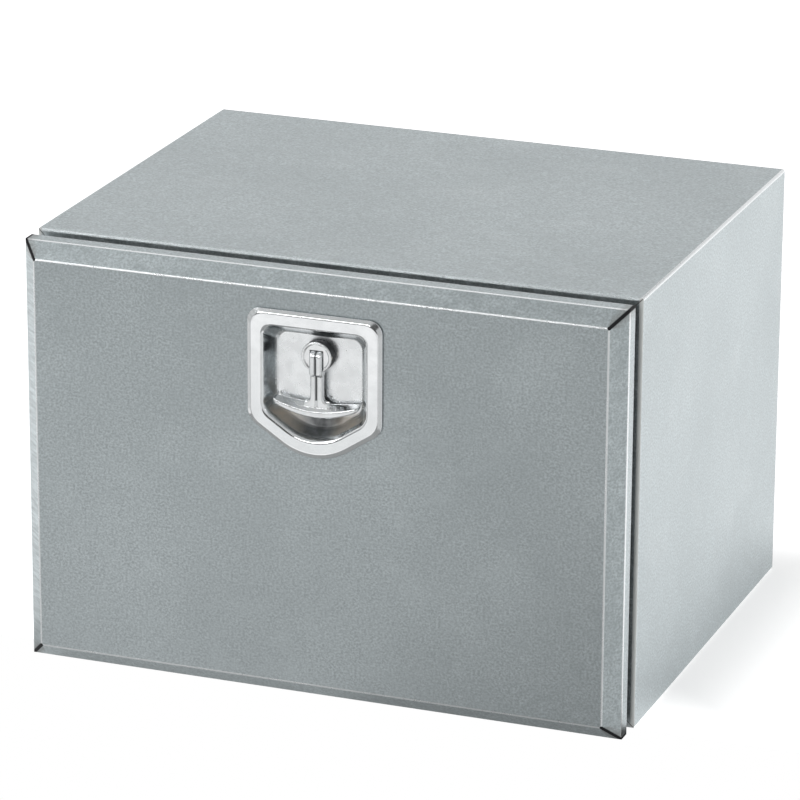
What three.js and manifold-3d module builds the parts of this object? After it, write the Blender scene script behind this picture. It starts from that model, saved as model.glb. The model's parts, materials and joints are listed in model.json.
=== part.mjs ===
// Stainless steel tool box with a drop-down door and a folding T-handle latch.
// Millimetres, +Z up, +X to the right as seen from the front, and the door faces -Y.
// The origin is the centre of the box's footprint, on the surface that it stands on.

import * as THREE from 'three';
import { mergeVertices } from 'three/addons/utils/BufferGeometryUtils.js';
import Module from 'manifold-3d';

const wasm = await Module();
wasm.setup();

// Whole box
const width = 600;
const height = 420;
const depth = 500; // from the front of the lock's rim to the back

// Sheet metal and fits
const sheet = 1.5;
const bendRadius = 1; // inside radius of a fold
const seat = 0.3; // gap between pieces that rest on each other
const runningGap = 0.3; // gap round a pin, an eye or a journal
const rivetGap = 0.15; // gap round a rivet or stud in its hole
const overrun = 10; // how far a cut runs past what it cuts

// Cabinet front
const flangeWidth = 30; // at the top and the sides
const sillWidth = 42; // at the bottom, where it carries the hinge too
const flangeReturn = 12; // the fold behind the flange's inner edge
const backFlange = 18; // forward fold of the back panel

// Door
const sealGap = 15; // from the cabinet's flange to the door's lip
const doorReturn = 17; // depth of the door's side walls
const bevel = 15; // width and depth of the bevel round the face
const doorSideInset = 2; // door edge inside the cabinet's side
const doorEndInset = 1.5; // door edge inside the cabinet's top and floor
const doorLip = 20; // inward lip at the top and the sides
const doorSillLip = 42; // inward lip at the bottom

// Door seal
const sealInset = 8; // from the cabinet's outside
const sealWidth = 11;
const sealBase = 3; // height of its flat base
const sealBulb = 5.4; // radius of its bulb
const sealCorner = 14;

// Hinge
const hingeHeight = 7; // pin above the floor of the box
const hingeRadius = 4.6; // outside of a knuckle
const leafSheet = 1.5;
const leafTop = 27; // upper edge of a leaf
const leafFold = 14; // where a leaf's flat part starts
const leafEndInset = 12; // hinge end inside the cabinet's side
const knuckleLength = 32;
const knuckleGap = 0.6;

// Rivets
const rivetRadius = 2;
const rivetHead = 3.8;
const rivetHeadHeight = 1.3;
const rivetTail = 3;
const rivetTailLength = 3;
const hingeRivetDistance = 90;
const rivetStagger = 22.5; // each leaf's row is shifted this far, the two rows opposite ways

// Door stiffeners, hat sections behind the face
const hatSheet = 1.2;
const hatBrim = 12;
const hatCrown = 24;
const hatTaper = 3;
const hatDepth = 18;
const hatInset = 110; // middle of a stiffener inside the side of the box
const hatEndGap = 24; // below and above, from the door's edges

// Lock: place and dish
const lockDrop = 79; // hub centre below the top of the box
const dishHalfWidth = 67;
const dishTop = 43.5; // above the hub's centre
const dishShoulder = 65; // where the sides end, below the hub's centre
const dishPoint = 109; // where the lower edges would meet, below the hub's centre
const dishSheet = 1.4;
const dishCorner = 13;
const dishLowCorner = 18;
const dishPointRadius = 60;
const dishRoundingShare = 0.6; // how fast the corners tighten from the rim towards the middle
const dishBend = 2.5;
const rimBorder = 4.3; // the rim's sloping outer border
const rimWidth = 15.2; // with its border
const dishDraft = 9.5; // how far the walls lean in
const dishDepth = 16.5; // from the rim to the floor
const gasketSheet = 2;
const gasketClear = 1.2; // gasket's edge inside the rim's sloping border
const cutOutClear = 2.5; // door's cut-out outside the dish's walls
const frameInset = 2;
const frameSheet = 2;

// Lock: studs and nuts behind the rim
const studRadius = 2;
const studInset = 9.5; // from the rim's edge
const studLength = 10.5;
const studLowerPlace = 50; // below the hub's centre
const nutRadius = 4; // across the corners
const nutHeight = 3;

// Lock: bushing and barrel
const bushingRadius = 13;
const bushingFlange = 19;
const bushingFlangeSheet = 3;
const bushingLength = 12;
const hubRadius = 15;
const hubSink = 6; // hub's front behind the rim
const hubEdge = 0.6;
const hubLip = 2; // ring round the hub's sunk face
const hubRecess = 0.8;
const journalRadius = 9;
const squareWidth = 10;
const screwRadius = 4;
const screwSpare = 2;

// Lock: T-handle, folded down into the dish
const eyeRadius = 6.2;
const handlePinRadius = 2;
const pinCover = 0.4; // fold pin behind the hub's sunk face
const kneeLength = 16; // end of the thick knuckle, below the fold pin
const stemWidth = 12.4;
const stemDepth = 6.5;
const stemFlare = 6;
const grooveHalf = 1.4; // groove down the handle's front
const grooveDepth = 1.2;
const handleEdge = 1.2; // bevel of the handle's edges
const barHalfLength = 42.5;
const barReach = 6.7; // bar's front ahead of the fold pin
const barBack = 3.3; // bar's back behind the fold pin
const barUndercut = 3; // how far the bar's underside rises towards its back
const barEdge = 1.5;
const barTipShare = 0.12; // part of the half length that the rounded tip takes
const barTipFloorShare = 0.45; // size of the tip's end
// The bar's edges below the fold pin, in the middle and at the tips
const barTop = { middle: 43.5, tip: 40.5 };
const barCrest = { middle: 52, tip: 43 };
const barBottom = { middle: 58.5, tip: 48 };

// Lock: cam, washer, nut and striker
const camSheet = 4;
const camHalfWidth = 13;
const camTipHalfWidth = 9;
const camTail = 13; // below the barrel's centre
const camCrankStart = 14;
const camClear = 5; // cam's crank below the striker
const camHook = 7; // how far the cam reaches up behind the flange
const camBend = 3;
const washerRadius = 9;
const washerSheet = 1.6;
const camNutRadius = 7.5;
const camNutHeight = 6.5;
const strikerHalfWidth = 35;
const strikerSheet = 2;
const strikerDrop = 10;
const strikerRivetPlace = 22;

// Roundness: steps to a fold, a corner, and a full circle
const foldSteps = 2;
const cornerSteps = 5;
const shieldSteps = 8;
const circleSteps = 24;
const barSteps = 16;
const smallCircleSteps = 12;
const hexagon = 6;

// Places that follow from the sizes above. Y is counted from the cabinet's front flange.
const lipY = -sealGap;
const returnY = lipY - doorReturn;
const faceY = returnY - bevel;
const rimY = faceY - gasketSheet - dishSheet - 2 * seat;
const cabinetDepth = depth + rimY;
const frontY = -depth / 2 - rimY;
const faceBackY = faceY + sheet;
const dishFloorY = rimY + dishDepth;
const dishBackY = dishFloorY + dishSheet;
const lockHeight = height - lockDrop;
const hingeY = lipY / 2;

const colours = {
  steel: { color: 0x9fa5a6, roughness: 0.38, metalness: 1 },
  bright: { color: 0xdfe3e5, roughness: 0.15, metalness: 1 },
  zinc: { color: 0xb4b6b2, roughness: 0.35, metalness: 1 },
  rubber: { color: 0x161718, roughness: 0.85, metalness: 0 },
};

// Flat geometry

const at = (x, y) => new THREE.Vector2(x, y);
const leftOf = (direction) => at(-direction.y, direction.x);

// A path's corner rounded to an arc, or left sharp where the path runs straight
function roundedCorner(corner, before, after, radius, steps) {
  const turn = Math.atan2(before.cross(after), before.dot(after));
  if (Math.abs(turn) < Number.EPSILON) return [corner.clone()];
  const reach = radius * Math.tan(Math.abs(turn) / 2);
  const start = corner.clone().addScaledVector(before, -reach);
  const centre = start.clone().addScaledVector(leftOf(before), Math.sign(turn) * radius);
  const points = [];
  for (let step = 0; step <= steps; step += 1) {
    points.push(start.clone().rotateAround(centre, (turn * step) / steps));
  }
  return points;
}

// The two faces of a sheet folded along a path. It lies to the left of the path
// where its thickness is positive, and to the right where it is negative.
function foldedFaces(corners, thickness, radius = bendRadius) {
  const wall = Math.abs(thickness);
  const legs = corners.slice(1).map((corner, i) => corner.clone().sub(corners[i]).normalize());
  const near = [];
  const far = [];
  corners.forEach((here, i) => {
    const before = legs[Math.max(i - 1, 0)];
    const after = legs[Math.min(i, legs.length - 1)];
    const across = leftOf(before).add(leftOf(after));
    const opposite = here.clone().addScaledVector(across, thickness / (1 + before.dot(after)));
    const turnsIn = before.cross(after) * thickness > 0;
    near.push(...roundedCorner(here, before, after, turnsIn ? radius + wall : radius, foldSteps));
    far.push(...roundedCorner(opposite, before, after, turnsIn ? radius : radius + wall, foldSteps));
  });
  return { near, far };
}

// The closed outline of such a sheet
function foldedOutline(corners, thickness, radius) {
  const { near, far } = foldedFaces(corners, thickness, radius);
  return [...near, ...far.reverse()];
}

function circleOutline(radius, steps = circleSteps, centre = at(0, 0)) {
  const points = [];
  for (let step = 0; step < steps; step += 1) {
    points.push(at(radius, 0).rotateAround(at(0, 0), (2 * Math.PI * step) / steps).add(centre));
  }
  return points;
}

// A convex outline's corners moved in from its sides, each side by its own inset
function insetCorners(outline, insets) {
  const count = outline.length;
  const normals = outline.map((corner, i) => {
    const next = outline[(i + 1) % count];
    return leftOf(next.clone().sub(corner).normalize());
  });
  return outline.map((corner, i) => {
    const last = (i + count - 1) % count;
    const lean = normals[last].dot(normals[i]);
    const square = 1 - lean * lean;
    return corner.clone()
      .addScaledVector(normals[last], (insets[last] - lean * insets[i]) / square)
      .addScaledVector(normals[i], (insets[i] - lean * insets[last]) / square);
  });
}

function roundedOutline(corners, radii, steps = cornerSteps) {
  const count = corners.length;
  return corners.flatMap((corner, i) => {
    const before = corner.clone().sub(corners[(i + count - 1) % count]).normalize();
    const after = corners[(i + 1) % count].clone().sub(corner).normalize();
    return roundedCorner(corner, before, after, radii[i], steps);
  });
}

const alike = (outline, value) => outline.map(() => value);

// Solid geometry

// A closed surface as a body that can be joined and cut
function body(geometry) {
  geometry.deleteAttribute('normal');
  geometry.deleteAttribute('uv');
  const merged = mergeVertices(geometry);
  const triangles = [];
  const index = merged.index.array;
  for (let i = 0; i < index.length; i += 3) {
    const [a, b, c] = index.slice(i, i + 3);
    if (a !== b && b !== c && c !== a) triangles.push(a, b, c);
  }
  const vertProperties = new Float32Array(merged.attributes.position.array);
  const triVerts = new Uint32Array(triangles);
  return new wasm.Manifold(new wasm.Mesh({ numProp: 3, vertProperties, triVerts }));
}

const join = (bodies) => bodies.reduce((whole, next) => whole.add(next));
const cut = (whole, tools) => tools.reduce((rest, tool) => rest.subtract(tool), whole);

function signedVolume(points, triangles) {
  let volume = 0;
  for (let i = 0; i < triangles.length; i += 3) {
    const [a, b, c] = triangles.slice(i, i + 3).map((corner) => points[corner]);
    volume += a.dot(b.clone().cross(c)) / 6;
  }
  return volume;
}

// A skin over rings of equal point counts: a closed loop of rings, or capped at both ends
function loft(rings, closed) {
  const count = rings[0].length;
  const points = rings.flat();
  const triangles = [];
  const lastRing = closed ? rings.length : rings.length - 1;
  for (let r = 0; r < lastRing; r += 1) {
    const here = r * count;
    const next = ((r + 1) % rings.length) * count;
    for (let i = 0; i < count; i += 1) {
      const j = (i + 1) % count;
      triangles.push(here + i, here + j, next + j, here + i, next + j, next + i);
    }
  }
  if (!closed) {
    [[0, false], [(rings.length - 1) * count, true]].forEach(([first, forward]) => {
      const middle = points.length;
      const total = new THREE.Vector3();
      points.slice(first, first + count).forEach((corner) => total.add(corner));
      points.push(total.divideScalar(count));
      for (let i = 0; i < count; i += 1) {
        const j = (i + 1) % count;
        const [a, b] = forward ? [i, j] : [j, i];
        triangles.push(middle, first + a, first + b);
      }
    });
  }
  if (signedVolume(points, triangles) < 0) triangles.reverse();
  const geometry = new THREE.BufferGeometry().setFromPoints(points);
  geometry.setIndex(triangles);
  return body(geometry);
}

// A ring of the rounded outline at one depth. The outline lies in X and Z.
function ring(outline, insets, radii, y, steps = cornerSteps) {
  const corners = roundedOutline(insetCorners(outline, insets), radii, steps);
  return corners.map((corner) => new THREE.Vector3(corner.x, y, corner.y));
}

// Outlines pushed through along X, Y or Z. Along X the outline holds Y and Z,
// along Y it holds X and Z, and along Z it holds X and Y.
const axes = {
  x: [new THREE.Vector3(0, 1, 0), new THREE.Vector3(0, 0, 1), new THREE.Vector3(1, 0, 0)],
  y: [new THREE.Vector3(1, 0, 0), new THREE.Vector3(0, 0, 1), new THREE.Vector3(0, -1, 0)],
  z: [new THREE.Vector3(1, 0, 0), new THREE.Vector3(0, 1, 0), new THREE.Vector3(0, 0, 1)],
};

function prism(outline, axis, low, high, edge = 0) {
  const options = {
    depth: high - low - 2 * edge,
    bevelEnabled: edge > 0,
    bevelThickness: edge,
    bevelSize: edge,
    bevelOffset: -edge,
    bevelSegments: 1,
  };
  const geometry = new THREE.ExtrudeGeometry(new THREE.Shape(outline), options);
  const start = axis === 'y' ? -high : low;
  geometry.translate(0, 0, start + edge);
  geometry.applyMatrix4(new THREE.Matrix4().makeBasis(...axes[axis]));
  return body(geometry);
}

function block(x, y, z) {
  const outline = [at(x[0], y[0]), at(x[1], y[0]), at(x[1], y[1]), at(x[0], y[1])];
  return prism(outline, 'z', z[0], z[1]);
}

function rod(radius, axis, low, high, centre = at(0, 0), steps = circleSteps) {
  return prism(circleOutline(radius, steps, centre), axis, low, high);
}

// A turned piece on an axis along Y, or along Z. Its profile holds the radius and the place
// along the axis, and starts and ends on the axis.
function turned(profile, steps = circleSteps, axis = 'y', centre = at(0, 0)) {
  const geometry = new THREE.LatheGeometry(profile, steps);
  const points = [];
  const place = geometry.attributes.position;
  for (let i = 0; i < place.count; i += 1) points.push(new THREE.Vector3().fromBufferAttribute(place, i));
  if (signedVolume(points, Array.from(geometry.index.array)) < 0) geometry.index.array.reverse();
  if (axis === 'z') geometry.rotateX(Math.PI / 2).translate(centre.x, centre.y, 0);
  else geometry.translate(centre.x, 0, centre.y);
  return body(geometry);
}

// The scene graph

function mesh(name, solid, finish, parent) {
  const { vertProperties, triVerts } = solid.getMesh();
  const geometry = new THREE.BufferGeometry();
  geometry.setAttribute('position', new THREE.BufferAttribute(vertProperties, 3));
  geometry.setIndex(new THREE.BufferAttribute(triVerts, 1));
  const material = new THREE.MeshStandardMaterial({ ...colours[finish], flatShading: true });
  const piece = new THREE.Mesh(geometry, material);
  piece.name = name;
  parent.add(piece);
}

// Cabinet

const cabinetOutline = [
  at(width / 2, 0), at(width / 2, height), at(-width / 2, height), at(-width / 2, 0),
];

// A ring of a folded pan. The sides and top share one section and the sill has its own.
// Side 1 of the outline is its top and side 3 its sill.
function panRing(outline, side, sill, corner) {
  const radius = Math.max(corner - side.x, 0);
  return ring(outline, [side.x, side.x, side.x, sill.x], alike(outline, radius), side.y);
}

// The wrapper's section: outer wall, front flange and the fold behind its inner edge
function wrapperSection(flange) {
  const corners = [at(0, cabinetDepth), at(0, 0), at(flange, 0), at(flange, flangeReturn)];
  return foldedOutline(corners, sheet);
}

function cabinetWrapper() {
  const sill = wrapperSection(sillWidth);
  const rings = wrapperSection(flangeWidth).map(
    (side, i) => panRing(cabinetOutline, side, sill[i], bendRadius + sheet),
  );
  return cut(loft(rings, true), [...sillRivets().map(rivetHole), ...strikerRivets().map(rivetHole)]);
}

function backPanel() {
  const outline = insetCorners(cabinetOutline, alike(cabinetOutline, sheet + seat));
  const corners = [at(backFlange, cabinetDepth), at(0, cabinetDepth), at(0, cabinetDepth - backFlange)];
  const { near, far } = foldedFaces(corners, sheet);
  const rings = [...near, ...far.reverse()].map((side) => panRing(outline, side, side, bendRadius));
  return loft(rings, false);
}

// Bulb seal round the cabinet's opening, on the flange and above the hinge leaf
function doorSeal() {
  const low = leafTop + seat;
  const side = width / 2 - sealInset;
  const top = height - sealInset;
  const outline = [at(side, low), at(side, top), at(-side, top), at(-side, low)];
  const bulb = at(sealWidth / 2, lipY + seat + sealBulb);
  const neck = Math.PI / 4; // half the bulb's angle that the base takes up
  const crown = [];
  for (let step = 0; step <= smallCircleSteps; step += 1) {
    const turn = Math.PI / 2 - neck - (2 * (Math.PI - neck) * step) / smallCircleSteps;
    crown.push(at(sealBulb, 0).rotateAround(at(0, 0), turn).add(bulb));
  }
  const section = [
    at(0, -seat), at(sealWidth, -seat), at(sealWidth, -sealBase), ...crown, at(0, -sealBase),
  ];
  const rings = section.map(({ x, y }) => {
    const radius = Math.max(sealCorner - x, 0);
    return ring(outline, alike(outline, x), alike(outline, radius), y);
  });
  return loft(rings, true);
}

// Rivets. Each has the axis that it lies along, its place across that axis, and where its
// head and its tail meet what it holds.

const rivetZ = (leafFold + leafTop) / 2;
const leafReach = width / 2 - leafEndInset;

function hingeRivetPlaces(shift) {
  const count = Math.max(Math.floor((2 * leafReach) / hingeRivetDistance), 1);
  const first = (-hingeRivetDistance * (count - 1)) / 2;
  return Array.from({ length: count }, (_, i) => at(first + hingeRivetDistance * i + shift, rivetZ));
}

function sillRivets() {
  const head = -leafSheet - 2 * seat;
  const tail = sheet + seat;
  return hingeRivetPlaces(-rivetStagger).map((place) => ({ axis: 'y', place, head, tail }));
}

function lipRivets() {
  const head = lipY + leafSheet + 2 * seat;
  const tail = lipY - sheet - seat;
  return hingeRivetPlaces(rivetStagger).map((place) => ({ axis: 'y', place, head, tail }));
}

const strikerTop = height - flangeWidth - seat;

function strikerRivets() {
  const head = strikerTop - strikerSheet - seat;
  const tail = height - flangeWidth + sheet + seat;
  const y = sheet + rivetHead;
  return [-strikerRivetPlace, strikerRivetPlace].map((x) => ({ axis: 'z', place: at(x, y), head, tail }));
}

function rivetHole({ axis, place, head, tail }) {
  const [low, high] = [Math.min(head, tail) - seat, Math.max(head, tail) + seat];
  return rod(rivetRadius + rivetGap, axis, low, high, place, smallCircleSteps);
}

// A domed head, a shank and an upset tail
function rivet({ axis, place, head, tail }) {
  const away = Math.sign(head - tail);
  const [domeShare, shoulderShare, edgeShare] = [0.6, 0.88, 0.3];
  const above = (share) => head + rivetHeadHeight * share * away;
  const tailEnd = tail - rivetTailLength * away;
  const profile = [
    at(0, above(1)), at(rivetHead * domeShare, above(shoulderShare)),
    at(rivetHead, above(edgeShare)), at(rivetHead, head),
    at(rivetRadius, head), at(rivetRadius, tail),
    at(rivetTail, tail), at(rivetTail, tailEnd), at(0, tailEnd),
  ];
  return turned(profile, smallCircleSteps, axis, place);
}

// Hinge

const hingeCentre = at(hingeY, hingeHeight);
const knuckleCount = Math.max(Math.round((2 * leafReach) / knuckleLength), 2);
const knucklePitch = (2 * leafReach) / knuckleCount;

// The leaf on the cabinet's flange, in Y and Z: a flat part, a jog, and a curl round the pin
function leafOutline() {
  const back = hingeY + hingeRadius;
  const jogEnd = leafFold + back + seat; // the jog lies at 45 degrees
  const corners = [
    at(-seat, leafTop), at(-seat, leafFold), at(back, jogEnd), at(back, hingeHeight),
  ];
  const { near, far } = foldedFaces(corners, -leafSheet);
  const curlShare = 5 / 6;
  for (let step = 1; step <= smallCircleSteps; step += 1) {
    const turn = (-2 * Math.PI * curlShare * step) / smallCircleSteps;
    near.push(at(hingeRadius, 0).rotateAround(at(0, 0), turn).add(hingeCentre));
    far.push(at(hingeRadius - leafSheet, 0).rotateAround(at(0, 0), turn).add(hingeCentre));
  }
  return [...near, ...far.reverse()];
}

// A leaf keeps every second knuckle and is notched round the other leaf's
function hingeLeaf(outline, firstNotch, holes) {
  const top = hingeHeight + hingeRadius + seat;
  const notches = [];
  for (let i = firstNotch; i < knuckleCount; i += 2) {
    const low = -leafReach + i * knucklePitch - knuckleGap / 2;
    const x = [low, low + knucklePitch + knuckleGap];
    notches.push(block(x, [lipY - overrun, overrun], [-overrun, top]));
  }
  return cut(prism(outline, 'x', -leafReach, leafReach), [...notches, ...holes.map(rivetHole)]);
}

const mirrored = (outline) => outline.map(({ x, y }) => at(lipY - x, y)).reverse();

function hingePin() {
  const radius = hingeRadius - leafSheet - runningGap;
  return rod(radius, 'x', -leafReach, leafReach, hingeCentre, smallCircleSteps);
}

// Door

const doorOutline = [
  at(width / 2 - doorSideInset, doorEndInset), at(width / 2 - doorSideInset, height - doorEndInset),
  at(doorSideInset - width / 2, height - doorEndInset), at(doorSideInset - width / 2, doorEndInset),
];

// The door's section from its lip to its face: lip, return, bevel and the face's edge
function doorSection(lip) {
  const corners = [at(lip, lipY), at(0, lipY), at(0, returnY), at(bevel, faceY), at(2 * bevel, faceY)];
  const { near, far } = foldedFaces(corners, sheet);
  return [...near.reverse(), ...far];
}

function doorSkin() {
  const sill = doorSection(doorSillLip);
  const rings = doorSection(doorLip).map((side, i) => panRing(doorOutline, side, sill[i], 0));
  const through = [faceY - overrun, faceBackY + overrun];
  const opening = prism(raised(shieldRound(cutOutInset)), 'y', ...through);
  const studHoles = studPlaces().map((place) => studHole(place.add(at(0, lockHeight)), ...through));
  return cut(loft(rings, false), [opening, ...studHoles, ...lipRivets().map(rivetHole)]);
}

const hatPlace = width / 2 - hatInset;

function doorStiffener(x) {
  const foot = faceBackY + seat;
  const half = hatCrown / 2;
  const corners = [
    at(-half - hatTaper - hatBrim, foot), at(-half - hatTaper, foot), at(-half, foot + hatDepth),
    at(half, foot + hatDepth), at(half + hatTaper, foot), at(half + hatTaper + hatBrim, foot),
  ];
  const outline = foldedOutline(corners, hatSheet).map((corner) => corner.add(at(x, 0)));
  const end = doorEndInset + hatEndGap;
  return prism(outline, 'z', end, height - end);
}

// Lock. Its pieces lie in a frame with the hub's centre at X = 0 and Z = 0.

const shield = [
  at(dishHalfWidth, -dishShoulder), at(dishHalfWidth, dishTop), at(-dishHalfWidth, dishTop),
  at(-dishHalfWidth, -dishShoulder), at(0, -dishPoint),
];
const cutOutInset = rimWidth - cutOutClear;
const raised = (outline) => outline.map((corner) => corner.clone().add(at(0, lockHeight)));
const shieldRing = ({ x, y }) => ring(shield, alike(shield, x), shieldRadii(x), y, shieldSteps);

function shieldRadii(inset) {
  const share = 1 - (dishRoundingShare * inset) / dishHalfWidth;
  const radii = [dishLowCorner, dishCorner, dishCorner, dishLowCorner, dishPointRadius];
  return radii.map((radius) => radius * share);
}

function shieldRound(inset) {
  return roundedOutline(insetCorners(shield, alike(shield, inset)), shieldRadii(inset), shieldSteps);
}

function studPlaces() {
  const x = dishHalfWidth - studInset;
  const top = dishTop - studInset;
  const low = -studLowerPlace;
  return [at(x, top), at(-x, top), at(-x, low), at(x, low)];
}

function studHole(place, low, high) {
  return rod(studRadius + rivetGap, 'y', low, high, place, smallCircleSteps);
}

// The pressed dish: a rim with a sloping border, leaning walls and a floor with the barrel's hole
function lockDish() {
  const borderY = faceY - seat - dishSheet;
  const corners = [
    at(0, borderY), at(rimBorder, rimY), at(rimWidth, rimY),
    at(rimWidth + dishDraft, dishFloorY), at(rimWidth + 2 * dishDraft, dishFloorY),
  ];
  const { near, far } = foldedFaces(corners, dishSheet, dishBend);
  const dish = loft([...near.reverse(), ...far].map(shieldRing), false);
  return dish.subtract(rod(journalRadius + runningGap, 'y', dishFloorY - overrun, dishBackY + overrun));
}

// A flat shield-shaped frame behind the rim, with holes for the studs
function shieldFrame(inset, low, high) {
  const section = [at(inset, low), at(cutOutInset, low), at(cutOutInset, high), at(inset, high)];
  const holes = studPlaces().map((place) => studHole(place, low - overrun, high + overrun));
  return cut(loft(section.map(shieldRing), true), holes);
}

const frameY = faceBackY + seat;
const gasketY = faceY - seat - gasketSheet;
const lockGasket = () => shieldFrame(rimBorder + gasketClear, gasketY, faceY - seat);
const lockBackingFrame = () => shieldFrame(frameInset, frameY, frameY + frameSheet);

function lockStud(place) {
  const low = rimY + dishSheet + seat;
  return rod(studRadius, 'y', low, low + studLength, place, smallCircleSteps);
}

function nut(radius, bore, low, length, place) {
  const hexOutline = circleOutline(radius, hexagon, place);
  const hole = rod(bore, 'y', low - overrun, low + length + overrun, place, smallCircleSteps);
  return prism(hexOutline, 'y', low, low + length).subtract(hole);
}

const lockNutY = frameY + frameSheet + seat;
const lockNut = (place) => nut(nutRadius, studRadius + rivetGap, lockNutY, nutHeight, place);

const bushingY = dishBackY + seat;
const journalEnd = bushingY + bushingLength + seat;
const camY = journalEnd + seat;
const camBackY = camY + camSheet;
const washerY = camBackY + seat;
const camNutY = washerY + washerSheet + seat;
const hubFrontY = rimY + hubSink;
const handlePinY = hubFrontY + hubRecess + pinCover + handlePinRadius;
const foldPin = at(handlePinY, 0);

function lockBushing() {
  const flange = rod(bushingFlange, 'y', bushingY, bushingY + bushingFlangeSheet);
  const sleeve = rod(bushingRadius, 'y', bushingY, bushingY + bushingLength);
  const bore = rod(journalRadius + runningGap, 'y', bushingY - overrun, journalEnd + overrun);
  return flange.add(sleeve).subtract(bore);
}

// Hub with a sunk face and the handle's slot, journal, square for the cam and screwed end
function lockBarrel() {
  const hubBackY = dishFloorY - seat;
  const faceRadius = hubRadius - hubLip;
  const hubFaceY = hubFrontY + hubRecess;
  const turnedPart = turned([
    at(0, hubFaceY), at(faceRadius - hubRecess, hubFaceY),
    at(faceRadius, hubFrontY), at(hubRadius - hubEdge, hubFrontY),
    at(hubRadius, hubFrontY + hubEdge), at(hubRadius, hubBackY),
    at(journalRadius, hubBackY), at(journalRadius, journalEnd), at(0, journalEnd),
  ]);
  const half = squareWidth / 2;
  const square = block([-half, half], [journalEnd - seat, camBackY], [-half, half]);
  const screw = rod(screwRadius, 'y', camBackY - seat, camNutY + camNutHeight + screwSpare);
  const slotHalf = stemWidth / 2 + runningGap;
  const slotDepth = [hubFrontY - overrun, handlePinY + eyeRadius + runningGap];
  const slotTop = eyeRadius + runningGap;
  const slot = block([-slotHalf, slotHalf], slotDepth, [-hubRadius - overrun, slotTop]);
  const reach = hubRadius + overrun;
  const pinHole = rod(handlePinRadius + rivetGap, 'x', -reach, reach, foldPin, smallCircleSteps);
  return cut(join([turnedPart, square, screw]), [slot, pinHole]);
}

// The pin's ends lie inside the round hub
function handlePin() {
  const reach = Math.sqrt(hubRadius ** 2 - handlePinRadius ** 2) - hubEdge;
  return rod(handlePinRadius, 'x', -reach, reach, foldPin, smallCircleSteps);
}

// T-handle: an eye on the fold pin, a knuckle, a grooved stem, and a bar with swept-up ends
function tHandle() {
  const stemHalf = stemWidth / 2;
  const back = handlePinY + stemDepth / 2;
  const front = handlePinY - stemDepth / 2;
  const step = eyeRadius - stemDepth / 2;
  const stemEnd = -barCrest.middle;
  const side = [];
  for (let i = 0; i <= smallCircleSteps; i += 1) {
    const turn = (Math.PI * i) / smallCircleSteps;
    side.push(at(eyeRadius, 0).rotateAround(at(0, 0), turn).add(foldPin));
  }
  side.push(
    at(handlePinY - eyeRadius, -kneeLength), at(front, -kneeLength - step), at(front, stemEnd),
    at(back, stemEnd), at(back, -kneeLength - step), at(handlePinY + eyeRadius, -kneeLength),
  );
  const stem = prism(side, 'x', -stemHalf, stemHalf, handleEdge);
  const flare = prism(flareOutline(), 'y', front, back, handleEdge);
  const reach = stemHalf + overrun;
  const eye = rod(handlePinRadius + runningGap, 'x', -reach, reach, foldPin, smallCircleSteps);
  const grooves = [
    groove(handlePinY - eyeRadius, 0, -kneeLength), groove(front, -kneeLength, stemEnd),
  ];
  return cut(join([stem, flare]), [eye, ...grooves]).add(handleBar());
}

// A triangular groove in a face that looks forward
function groove(faceOfStem, top, bottom) {
  const mouth = faceOfStem - grooveDepth;
  const outline = [
    at(-2 * grooveHalf, mouth), at(0, faceOfStem + grooveDepth), at(2 * grooveHalf, mouth),
  ];
  return prism(outline, 'z', bottom, top);
}

// The bar is a loft from tip to tip over sections with a sloping top and a narrow front
function handleBar() {
  const rings = [];
  for (let i = 0; i <= barSteps; i += 1) {
    const along = Math.sin(Math.PI * (i / barSteps - 1 / 2));
    const x = along * barHalfLength;
    rings.push(barSection(along).map((corner) => new THREE.Vector3(x, corner.x, corner.y)));
  }
  return loft(rings, false);
}

function barSection(along) {
  const sweep = along * along;
  const level = ({ middle, tip }) => -(middle + (tip - middle) * sweep);
  const [front, back] = [handlePinY - barReach, handlePinY + barBack];
  const corners = [
    at(back, level(barTop)), at(front, level(barCrest)), at(front, level(barBottom)),
    at(back, level(barBottom) + barUndercut),
  ];
  const middle = corners.reduce((sum, corner) => sum.add(corner), at(0, 0)).divideScalar(corners.length);
  const tip = Math.max((Math.abs(along) - 1) / barTipShare + 1, 0);
  const size = barTipFloorShare + (1 - barTipFloorShare) * Math.sqrt(1 - tip * tip);
  const placed = corners.map((corner) => corner.sub(middle).multiplyScalar(size).add(middle));
  return roundedOutline(placed, alike(placed, barEdge * size), foldSteps);
}

function flareOutline() {
  const half = stemWidth / 2;
  const [top, low] = [-barTop.middle, -barCrest.middle];
  const shape = new THREE.Shape();
  shape.moveTo(half + stemFlare, low);
  shape.lineTo(half + stemFlare, top);
  shape.quadraticCurveTo(half, top, half, top + stemFlare);
  shape.lineTo(-half, top + stemFlare);
  shape.quadraticCurveTo(-half, top, -half - stemFlare, top);
  shape.lineTo(-half - stemFlare, low);
  return distinct(shape.getPoints(cornerSteps));
}

// A curve's points without those that repeat the next one
function distinct(points) {
  const isNew = (point, i) => point.distanceTo(points[(i + 1) % points.length]) > Number.EPSILON;
  return points.filter(isNew);
}

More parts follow.
